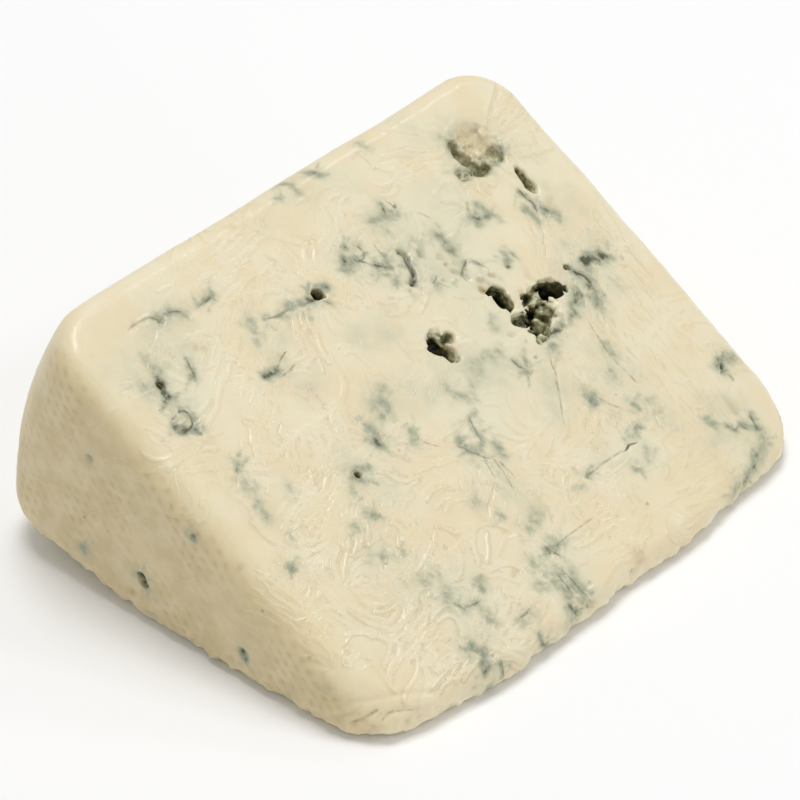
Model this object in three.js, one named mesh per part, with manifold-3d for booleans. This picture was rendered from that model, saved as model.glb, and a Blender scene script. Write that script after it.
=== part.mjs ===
// Blue cheese wedge lying on one of its two cut faces. Millimetres, +Z up.
// The wedge is a sector of a drum-shaped wheel whose axis runs along Y: the rind arc faces -X, the thin
// edge where the cut faces meet faces +X, and the wheel's two flat faces are the ends at -Y and +Y.
// The origin is the middle of the footprint, on the resting face.
import * as THREE from 'three';
import { ImprovedNoise } from 'three/addons/math/ImprovedNoise.js';
import { mergeVertices } from 'three/addons/utils/BufferGeometryUtils.js';
import Module from 'manifold-3d';

// The wheel and the two cuts.
const RIND_RADIUS = 95;
const WHEEL_HEIGHT = 110;
const CUT_ANGLE = THREE.MathUtils.degToRad(31);
const WHEEL_AXIS_X = 49.7;

// How softly the faces meet.
const THIN_EDGE_RADIUS = 3.3;
const PLAN_CORNER_RADIUS = 14; // the thin edge's two ends, seen from above
const PLAN_CORNER_CLEARANCE = 1.9; // how far the plan outline stands in front of the thin edge
const RIM_RADIUS = 10.5; // between the rind and the wheel's flat faces
const FLAT_TO_TOP_RADIUS = 4.8;
const FLAT_TO_BOTTOM_RADIUS = 3.3;
const RIND_TO_TOP_RADIUS = 3.5;
const RIND_TO_BOTTOM_RADIUS = 11.5;
const RIND_BLEND = { from: 57, to: 90 }; // reach over which the rind's softer edges fade in

// The thin edge bows out in the middle and is scalloped where curd broke away.
const EDGE_BOW = 3.8;
const EDGE_BOW_FADE = { from: 66.5, to: 9.5 };
const EDGE_SCALLOPS = [
  { across: -27, width: 8, out: 1.1 },
  { across: 3, width: 5, out: -0.9 },
  { across: 21, width: 6, out: 0.4 },
  { across: 33, width: 4, out: -0.5 },
];

// Slow unevenness of the pressed curd, none of it on the resting face: crossed waves that bend each other.
const SWELL_HEIGHT = 0.3;
const SWELL_WAVE = { x: 6.1, y: 7.4, z: 5.3 }; // millimetres per radian
const SWELL_BEND = 1.3;
const SWELL_FADE_Z = 5;

// Segments across the wedge, and how strongly they crowd towards its edges (0 to 1).
const SEGMENTS = { reach: 26, across: 32, angle: 10 };
const EDGE_CROWDING = 0.78;
const INNERMOST_REACH = 7;
const PROJECTION_STEPS = 12;
const GRADIENT_STEP = 0.02;

// Holes in the cut face that lies on top. Reach is the distance from the wheel's axis along the face,
// across is along Y, half is the half size [reach, across, depth], and sunk is the centre's depth.
const CUT_FACE_HOLES = [
  // the large ragged hole, three joined eyes with an arm, and its black neighbour behind a thin wall
  { reach: 53.0, across: 30.2, half: [1.7, 2.6, 2.4], turn: 10, sunk: 0.3 },
  { reach: 53.4, across: 26.6, half: [2.9, 3.0, 4.2], turn: 0, sunk: 0.9 },
  { reach: 50.9, across: 24.0, half: [3.3, 2.7, 4.6], turn: 25, sunk: 1.1 },
  { reach: 48.2, across: 21.6, half: [2.3, 1.9, 3.2], turn: 40, sunk: 0.6 },
  { reach: 56.9, across: 20.7, half: [2.5, 1.4, 4.4], turn: 8, sunk: 0.9 },
  // the eye near the middle of the face
  { reach: 56.6, across: 4.6, half: [1.9, 2.1, 3.4], turn: 30, sunk: 0.6 },
  { reach: 54.6, across: 3.6, half: [1.5, 1.3, 2.4], turn: 0, sunk: 0.4 },
  // the crumbly hollow and the slit by the upper corner
  { reach: 80.2, across: 37.6, half: [4.2, 3.9, 1.9], turn: 20, sunk: -0.3 },
  { reach: 76.0, across: 34.6, half: [3.0, 2.9, 1.7], turn: 0, sunk: -0.2 },
  { reach: 68.6, across: 42.5, half: [3.4, 0.75, 2.0], turn: 3, sunk: 0.1 },
  // the small eyes towards the rind
  { reach: 74.2, across: -7.7, half: [0.8, 0.9, 1.9], turn: 0, sunk: 0.2 },
  { reach: 75.6, across: -43.4, half: [1.1, 0.7, 2.0], turn: -30, sunk: 0.2 },
  { reach: 68.8, across: -44.8, half: [1.4, 1.3, 1.2], turn: 0, sunk: 0.0 },
];

// Holes in the wheel's flat face at -Y: reach is measured level along the face and height is Z.
const FLAT_FACE_HOLES = [{ reach: 58.9, height: 9.3, half: [1.1, 1.2, 2.4], turn: 20, sunk: 0.4 }];

const HOLE_DETAIL = 2;
const HOLE_ROUGHNESS = 0.28; // share of the half size
const HOLE_LUMPS = 1.9; // lumps per radius
const HOLE_SEED_STEP = 7.3;

const CREAM = 0xe9dfbf;
const CHEESE_ROUGHNESS = 0.45;

const noise = new ImprovedNoise();
const wasm = await Module();
wasm.setup();

// Intersection of two solids' distances with an edge of the given radius.
function roundedMax(a, b, radius) {
  const corner = Math.hypot(Math.max(a + radius, 0), Math.max(b + radius, 0));
  return Math.min(Math.max(a, b), -radius) + corner;
}

function fade(value, { from, to }) {
  const t = THREE.MathUtils.clamp((value - from) / (to - from), 0, 1);
  return t * t * (3 - 2 * t);
}

// How far the thin edge stands out at a place along Y.
function edgeBow(y) {
  const share = (2 * y) / WHEEL_HEIGHT;
  let out = EDGE_BOW * (1 - share * share);
  for (const scallop of EDGE_SCALLOPS) {
    const t = (y - scallop.across) / scallop.width;
    out += scallop.out * Math.exp(-t * t);
  }
  return out;
}

// How far the surface is pressed in (or, if negative, swells out) at a place.
function swell(x, y, z) {
  const alongX = Math.sin(x / SWELL_WAVE.x + SWELL_BEND * Math.sin(y / SWELL_WAVE.y));
  const alongY = Math.sin(y / SWELL_WAVE.x + SWELL_BEND * Math.cos(x / SWELL_WAVE.y));
  const height = SWELL_HEIGHT * fade(z, { from: 0, to: SWELL_FADE_Z });
  return (height * (alongX * alongY + Math.sin(z / SWELL_WAVE.z + alongX))) / 2;
}

// Distance from the two cut planes, which meet in the round thin edge at x = 0 along Y.
function cutDistance(x, z) {
  const radius = THIN_EDGE_RADIUS;
  const sin = Math.sin(CUT_ANGLE);
  const cos = Math.cos(CUT_ANGLE);
  const fromEdgeX = x + radius / Math.tan(CUT_ANGLE / 2);
  const fromEdgeZ = z - radius;
  const pastEdge = fromEdgeX > 0 && cos * fromEdgeX > sin * fromEdgeZ;
  if (pastEdge) return Math.hypot(fromEdgeX, fromEdgeZ) - radius;
  return Math.max(sin * x + cos * z, -z);
}

// Signed distance of the whole wedge, with x measured from the wheel's axis.
function wedgeDistance(x, y, z) {
  const bowed = x - edgeBow(y) * fade(-x, EDGE_BOW_FADE);
  const thinEdgeX = THIN_EDGE_RADIUS - THIN_EDGE_RADIUS / Math.tan(CUT_ANGLE / 2);
  const flat = Math.abs(y) - WHEEL_HEIGHT / 2;
  const plan = roundedMax(flat, bowed - thinEdgeX - PLAN_CORNER_CLEARANCE, PLAN_CORNER_RADIUS);
  const drum = roundedMax(plan, Math.hypot(bowed, z) - RIND_RADIUS, RIM_RADIUS);
  const nearRind = fade(-bowed, RIND_BLEND);
  const topRadius = THREE.MathUtils.lerp(FLAT_TO_TOP_RADIUS, RIND_TO_TOP_RADIUS, nearRind);
  const bottomRadius = THREE.MathUtils.lerp(FLAT_TO_BOTTOM_RADIUS, RIND_TO_BOTTOM_RADIUS, nearRind);
  const localHeight = Math.max(-bowed * Math.tan(CUT_ANGLE), 2 * THIN_EDGE_RADIUS);
  const heightShare = THREE.MathUtils.clamp(z / localHeight, 0, 1);
  const radius = THREE.MathUtils.lerp(bottomRadius, topRadius, heightShare);
  return roundedMax(cutDistance(bowed, z), drum, radius) + swell(x, y, z);
}

// Moves a point of the sharp sector onto the rounded, uneven surface.
function projectOntoWedge(point) {
  const h = GRADIENT_STEP;
  for (let step = 0; step < PROJECTION_STEPS; step += 1) {
    const { x, y, z } = point;
    const here = wedgeDistance(x, y, z);
    const slope = new THREE.Vector3(
      wedgeDistance(x + h, y, z) - here,
      wedgeDistance(x, y + h, z) - here,
      wedgeDistance(x, y, z + h) - here,
    ).divideScalar(h);
    point.addScaledVector(slope, -here / slope.lengthSq());
  }
}

// Crowds evenly spaced values between -1 and 1 towards both ends.
function crowd(t) {
  const quarter = (Math.PI / 2) * EDGE_CROWDING;
  return Math.sin(t * quarter) / Math.sin(quarter);
}

// The wedge's skin: a box bent into the sector, then drawn onto the wedge.
function wedgeSkin() {
  const skin = new THREE.BoxGeometry(2, 2, 2, SEGMENTS.reach, SEGMENTS.across, SEGMENTS.angle);
  const places = skin.attributes.position;
  const point = new THREE.Vector3();
  for (let i = 0; i < places.count; i += 1) {
    point.fromBufferAttribute(places, i);
    const onRestingFace = point.z === -1;
    const reach = THREE.MathUtils.lerp(RIND_RADIUS, INNERMOST_REACH, (crowd(point.x) + 1) / 2);
    const angle = (CUT_ANGLE * (crowd(point.z) + 1)) / 2;
    const across = (crowd(point.y) * WHEEL_HEIGHT) / 2;
    point.set(-reach * Math.cos(angle), across, reach * Math.sin(angle));
    projectOntoWedge(point);
    if (onRestingFace) point.z = Math.max(point.z, 0);
    places.setXYZ(i, point.x, point.y, point.z);
  }
  return skin;
}

// A lumpy eye of unit size; the seed moves the lumps.
function lumpyEye(seed) {
  const eye = new THREE.IcosahedronGeometry(1, HOLE_DETAIL);
  const places = eye.attributes.position;
  const point = new THREE.Vector3();
  for (let i = 0; i < places.count; i += 1) {
    point.fromBufferAttribute(places, i);
    const lumps = point.clone().multiplyScalar(HOLE_LUMPS).addScalar(seed * HOLE_SEED_STEP);
    point.multiplyScalar(1 + HOLE_ROUGHNESS * noise.noise(lumps.x, lumps.y, lumps.z));
    places.setXYZ(i, point.x, point.y, point.z);
  }
  return eye;
}

// A hole stretched, turned about its face's normal and set into the face.
function holeInFace(hole, seed, centre, alongReach, normal) {
  const across = new THREE.Vector3().crossVectors(normal, alongReach);
  const face = new THREE.Matrix4().makeBasis(alongReach, across, normal);
  const place = centre.clone().addScaledVector(normal, -hole.sunk);
  const geometry = lumpyEye(seed);
  geometry.scale(...hole.half);
  geometry.rotateZ(THREE.MathUtils.degToRad(hole.turn));
  geometry.applyMatrix4(face.setPosition(place));
  return geometry;
}

function cutFaceHole(hole, seed) {
  const alongReach = new THREE.Vector3(-Math.cos(CUT_ANGLE), 0, Math.sin(CUT_ANGLE));
  const normal = new THREE.Vector3(Math.sin(CUT_ANGLE), 0, Math.cos(CUT_ANGLE));
  const centre = alongReach.clone().multiplyScalar(hole.reach).setY(hole.across);
  return holeInFace(hole, seed, centre, alongReach, normal);
}

function flatFaceHole(hole, seed) {
  const alongReach = new THREE.Vector3(-1, 0, 0);
  const normal = new THREE.Vector3(0, -1, 0);
  const centre = new THREE.Vector3(-hole.reach, -WHEEL_HEIGHT / 2, hole.height);
  return holeInFace(hole, seed, centre, alongReach, normal);
}

// A closed geometry as a solid, and back.
function toSolid(geometry) {
  const bare = geometry.clone();
  bare.deleteAttribute('normal');
  bare.deleteAttribute('uv');
  const merged = mergeVertices(bare, 1e-4);
  const vertProperties = new Float32Array(merged.attributes.position.array);
  const triVerts = new Uint32Array(merged.index.array);
  return new wasm.Manifold(new wasm.Mesh({ numProp: 3, vertProperties, triVerts }));
}

function toGeometry(solid) {
  const { vertProperties, triVerts } = solid.getMesh();
  const geometry = new THREE.BufferGeometry();
  geometry.setAttribute('position', new THREE.BufferAttribute(vertProperties, 3));
  geometry.setIndex(new THREE.BufferAttribute(triVerts, 1));
  geometry.computeVertexNormals();
  return geometry;
}

function cheeseWedge() {
  const holes = [...CUT_FACE_HOLES.map(cutFaceHole), ...FLAT_FACE_HOLES.map(flatFaceHole)];
  const solid = holes.reduce((wedge, hole) => wedge.subtract(toSolid(hole)), toSolid(wedgeSkin()));
  const material = new THREE.MeshStandardMaterial({ color: CREAM, roughness: CHEESE_ROUGHNESS });
  const mesh = new THREE.Mesh(toGeometry(solid), material);
  mesh.name = 'cheese_wedge';
  mesh.position.x = WHEEL_AXIS_X;
  return mesh;
}

const blueCheese = new THREE.Group();
blueCheese.add(cheeseWedge());

export default blueCheese;
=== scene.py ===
"""Blue cheese wedge, dressed for rendering: moist cream curd with blue-grey veins, ragged eyes, fine
folds with a thin gloss, and the dimples that a draining mat pressed into the wheel's flat faces."""

import math

import bpy
import numpy as np
from mathutils import Color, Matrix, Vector


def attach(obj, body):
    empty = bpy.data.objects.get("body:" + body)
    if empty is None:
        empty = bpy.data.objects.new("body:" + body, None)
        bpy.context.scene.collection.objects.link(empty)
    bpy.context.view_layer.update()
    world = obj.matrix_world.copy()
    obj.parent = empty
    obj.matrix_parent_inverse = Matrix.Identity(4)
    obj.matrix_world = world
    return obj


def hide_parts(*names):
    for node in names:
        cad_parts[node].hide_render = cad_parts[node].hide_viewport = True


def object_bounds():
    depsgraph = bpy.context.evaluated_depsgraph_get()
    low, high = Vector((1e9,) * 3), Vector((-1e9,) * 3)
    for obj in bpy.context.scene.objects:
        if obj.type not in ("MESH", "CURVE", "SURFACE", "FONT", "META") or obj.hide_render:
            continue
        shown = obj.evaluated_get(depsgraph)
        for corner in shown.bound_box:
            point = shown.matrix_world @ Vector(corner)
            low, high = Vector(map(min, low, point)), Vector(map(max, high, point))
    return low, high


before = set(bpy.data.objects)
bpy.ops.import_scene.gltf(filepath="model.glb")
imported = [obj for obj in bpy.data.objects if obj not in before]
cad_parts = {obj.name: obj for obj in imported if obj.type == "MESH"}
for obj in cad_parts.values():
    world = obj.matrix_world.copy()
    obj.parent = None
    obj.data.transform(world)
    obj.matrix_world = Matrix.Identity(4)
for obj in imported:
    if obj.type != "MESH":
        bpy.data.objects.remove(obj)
cad_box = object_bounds()

# ------------------------------------------------------ sizes, in millimetres, x from the wheel's axis
MM = 0.001
RIND_RADIUS = 95.0
WHEEL_HEIGHT = 110.0
CUT_ANGLE = math.radians(31)
WHEEL_AXIS_X = 49.7

THIN_EDGE_RADIUS = 3.3
PLAN_CORNER_RADIUS = 14.0
PLAN_CORNER_CLEARANCE = 1.9
RIM_RADIUS = 10.5
FLAT_TO_TOP_RADIUS = 4.8
FLAT_TO_BOTTOM_RADIUS = 3.3
RIND_TO_TOP_RADIUS = 3.5
RIND_TO_BOTTOM_RADIUS = 11.5
RIND_BLEND = (57.0, 90.0)

EDGE_BOW = 3.8
EDGE_BOW_FADE = (66.5, 9.5)
EDGE_SCALLOPS = [(-27, 8, 1.1), (3, 5, -0.9), (21, 6, 0.4), (33, 4, -0.5)]  # across, width, out

SWELL_HEIGHT = 0.3
SWELL_WAVE = (6.1, 7.4, 5.3)
SWELL_BEND = 1.3
SWELL_FADE_Z = 5.0

GRID_STEP = 0.40  # edge of the cells that the surface is drawn through
GRID_MARGIN = 1.5
MOST_TRIANGLES = 190_000
SHOWN_WEIGHT = 0.2  # how readily triangles that show are merged, next to 1 for the hidden ones
HIDDEN_FACTOR = 10.0
SLOPE_STEP = 0.05  # how far apart the wedge's distance is compared for its slope

# The top cut face: reach runs from the wheel's axis towards the rind, across runs along Y.
ALONG = np.array([-math.cos(CUT_ANGLE), 0.0, math.sin(CUT_ANGLE)], np.float32)
ACROSS = np.array([0.0, 1.0, 0.0], np.float32)
NORMAL = np.array([math.sin(CUT_ANGLE), 0.0, math.cos(CUT_ANGLE)], np.float32)

# ----------------------------------------------------------------------------- the view of the wedge
CAMERA_AZIMUTH = math.radians(41.89)
CAMERA_ELEVATION = math.radians(36.77)
CAMERA_DISTANCE = 758.9
CAMERA_TARGET = np.array([-3.67, 0.81, 17.1])  # x from the middle of the part
CAMERA_LENS = 205.03
SENSOR_WIDTH = 36.0
PICTURE_SIZE = 800

# The marks below are placed by where they show in that view: (x, y) in pixels of a square of 800.
# Eyes: half size (reach, across, depth), turn in degrees, how deep the middle lies, raggedness, place.
EYES = [
    ((3.7, 2.8, 3.6), 44, 0.8, 0.55, (538, 307)),
    ((2.0, 3.2, 4.8), 38, 1.1, 0.45, (553, 289)),
    ((2.9, 1.9, 2.8), 44, 0.6, 0.50, (541, 328)),
    ((1.5, 1.6, 2.4), 0, 0.5, 0.45, (521, 319)),
    ((1.9, 1.8, 5.8), -10, 1.4, 0.45, (497, 293)),
    ((2.1, 1.6, 5.8), -10, 1.4, 0.45, (505, 301)),
    ((1.1, 1.3, 1.0), 0, 0.0, 0.30, (484, 288)),
    ((2.3, 2.2, 5.2), 0, 1.1, 0.50, (437, 343)),
    ((1.8, 1.5, 3.0), -10, 0.6, 0.55, (448, 352)),
    ((1.1, 1.1, 2.0), 0, 0.4, 0.40, (450, 337)),
    ((4.2, 4.6, 1.4), 30, -0.4, 0.35, (477, 150)),
    ((3.8, 1.5, 1.9), -8, 0.2, 0.35, (463, 155)),
    ((1.3, 2.2, 1.9), -11, 0.3, 0.35, (483, 168)),
    ((1.4, 1.6, 1.2), 10, -0.1, 0.35, (464, 174)),
    ((2.0, 1.5, 1.5), 0, 0.1, 0.35, (497, 152)),
    ((3.1, 0.8, 2.2), 2, 0.2, 0.25, (525, 178)),
    ((1.6, 1.0, 2.0), 2, 0.2, 0.25, (531, 185)),
    ((0.9, 0.6, 1.8), -30, 0.3, 0.10, (161, 385)),
    ((1.2, 1.0, 3.4), 0, 0.9, 0.55, (318, 294)),
    ((0.7, 0.6, 2.4), 0, 0.8, 0.10, (358, 474)),
    ((0.7, 0.7, 1.3), 0, 0.2, 0.15, (567, 267)),
    ((1.4, 1.2, 3.2), 20, 0.9, 0.45, (142, 580)),
]
# Crumbs of curd in the eyes: how deep the middle lies behind the skin, radius, place.
CRUMBS = [
    (3.9, 1.7, (531, 303)),
    (3.9, 1.7, (542, 314)),
    (3.0, 1.2, (538, 326)),
    (2.3, 1.0, (541, 340)),
    (2.7, 1.2, (451, 347)),
    (1.2, 0.8, (484, 288)),
    (1.6, 1.2, (474, 157)),
]

# Cracks and layered folds: depth, half width, route.
CRACKS = [
    (0.80, 0.45, [(399, 251), (404, 254), (408, 261), (412, 269), (415, 277), (413, 284)]),
    (0.40, 0.40, [(574, 271), (580, 274), (586, 277), (591, 282)]),
    (0.35, 0.40, [(466, 263), (463, 269), (462, 275), (468, 280)]),
    (0.35, 0.40, [(520, 190), (526, 197), (534, 203)]),
    (0.30, 0.45, [(476, 215), (480, 218), (486, 217)]),
    (0.12, 0.50, [(548, 352), (552, 364), (556, 380), (561, 408), (564, 422)]),
    (0.25, 0.60, [(460, 446), (470, 451), (480, 455), (488, 458)]),
    (0.20, 0.50, [(470, 418), (476, 430), (481, 440), (481, 452)]),
    (0.35, 0.80, [(664, 409), (648, 420), (636, 431), (622, 441)]),
    (0.35, 0.45, [(626, 449), (629, 445), (634, 443)]),
    (0.25, 0.55, [(588, 476), (600, 466), (612, 457), (622, 451)]),
    (0.30, 0.60, [(130, 328), (140, 321), (150, 317), (162, 321)]),
    (0.25, 0.60, [(166, 313), (178, 311), (188, 315), (200, 304), (212, 296)]),
    (0.45, 0.60, [(173, 418), (176, 428), (184, 432), (196, 430), (195, 420)]),
    (0.30, 0.50, [(549, 553), (557, 553), (561, 556)]),
    (0.35, 0.60, [(570, 605), (574, 611), (578, 615)]),
    (0.30, 0.50, [(518, 622), (521, 617), (527, 612)]),
    (0.25, 0.50, [(264, 320), (276, 317), (287, 311), (300, 305), (315, 299)]),
    (0.20, 0.50, [(276, 370), (280, 361), (285, 352)]),
    (0.30, 0.50, [(486, 672), (489, 668)]),
    (0.40, 0.60, [(757, 455), (754, 467), (747, 481)]),
    (0.20, 0.50, [(455, 603), (465, 609), (478, 602)]),
    (0.35, 0.50, [(352, 723), (362, 720), (370, 715), (376, 711)]),
    (0.30, 0.50, [(382, 720), (388, 714), (396, 711), (412, 710), (440, 708), (462, 704)]),
    (0.25, 0.50, [(338, 706), (350, 703), (366, 702), (380, 698), (400, 694), (430, 692)]),
    (0.22, 0.50, [(324, 700), (338, 700), (348, 698)]),
    (0.20, 0.50, [(305, 662), (318, 665), (332, 668)]),
    (0.20, 0.40, [(304, 651), (316, 657), (330, 663)]),
    (0.25, 0.50, [(400, 726), (404, 720), (412, 716), (430, 714)]),
    (0.20, 0.40, [(340, 716), (352, 713), (360, 708)]),
]
# Pin pricks and nicks in the outline: depth, radius, place.
PRICKS = [
    (0.7, 0.45, (162, 321)),
    (0.4, 0.45, (446, 264)),
    (0.4, 0.45, (395, 206)),
    (0.4, 0.45, (508, 266)),
    (0.7, 0.55, (412, 281)),
    (0.3, 0.45, (592, 594)),
    (0.5, 0.45, (468, 279)),
    (0.3, 0.50, (536, 357)),
    (0.4, 0.50, (722, 368)),
    (0.6, 0.70, (89, 459)),
    (0.6, 0.70, (193, 537)),
    (0.5, 0.80, (242, 652)),
    (0.3, 0.80, (83, 546)),
    (0.8, 0.80, (590, 606)),
    (0.6, 0.80, (633, 572)),
    (0.7, 0.70, (407, 723)),
    (0.7, 1.00, (71, 561)),
    (0.6, 0.80, (93, 576)),
    (0.6, 0.80, (132, 593)),
    (0.8, 1.10, (150, 616)),
    (0.6, 0.80, (192, 640)),
    (0.6, 0.90, (16, 447)),
]
# Raised lumps of curd: height, radius, place.
LUMPS = [
    (0.90, 1.8, (560, 313)),
    (0.30, 1.6, (577, 281)),
    (0.20, 2.0, (474, 272)),
    (0.45, 2.2, (476, 137)),
    (0.25, 1.0, (132, 574)),
    (0.30, 1.7, (183, 421)),
    (0.35, 5.0, (545, 612)),
    (0.25, 5.0, (610, 575)),
    (0.20, 6.0, (430, 690)),
]
CRUMBLY = [(1.0, 7.0, [(400, 262), (450, 274), (490, 280), (530, 330)])]  # strength, half width, route

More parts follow.
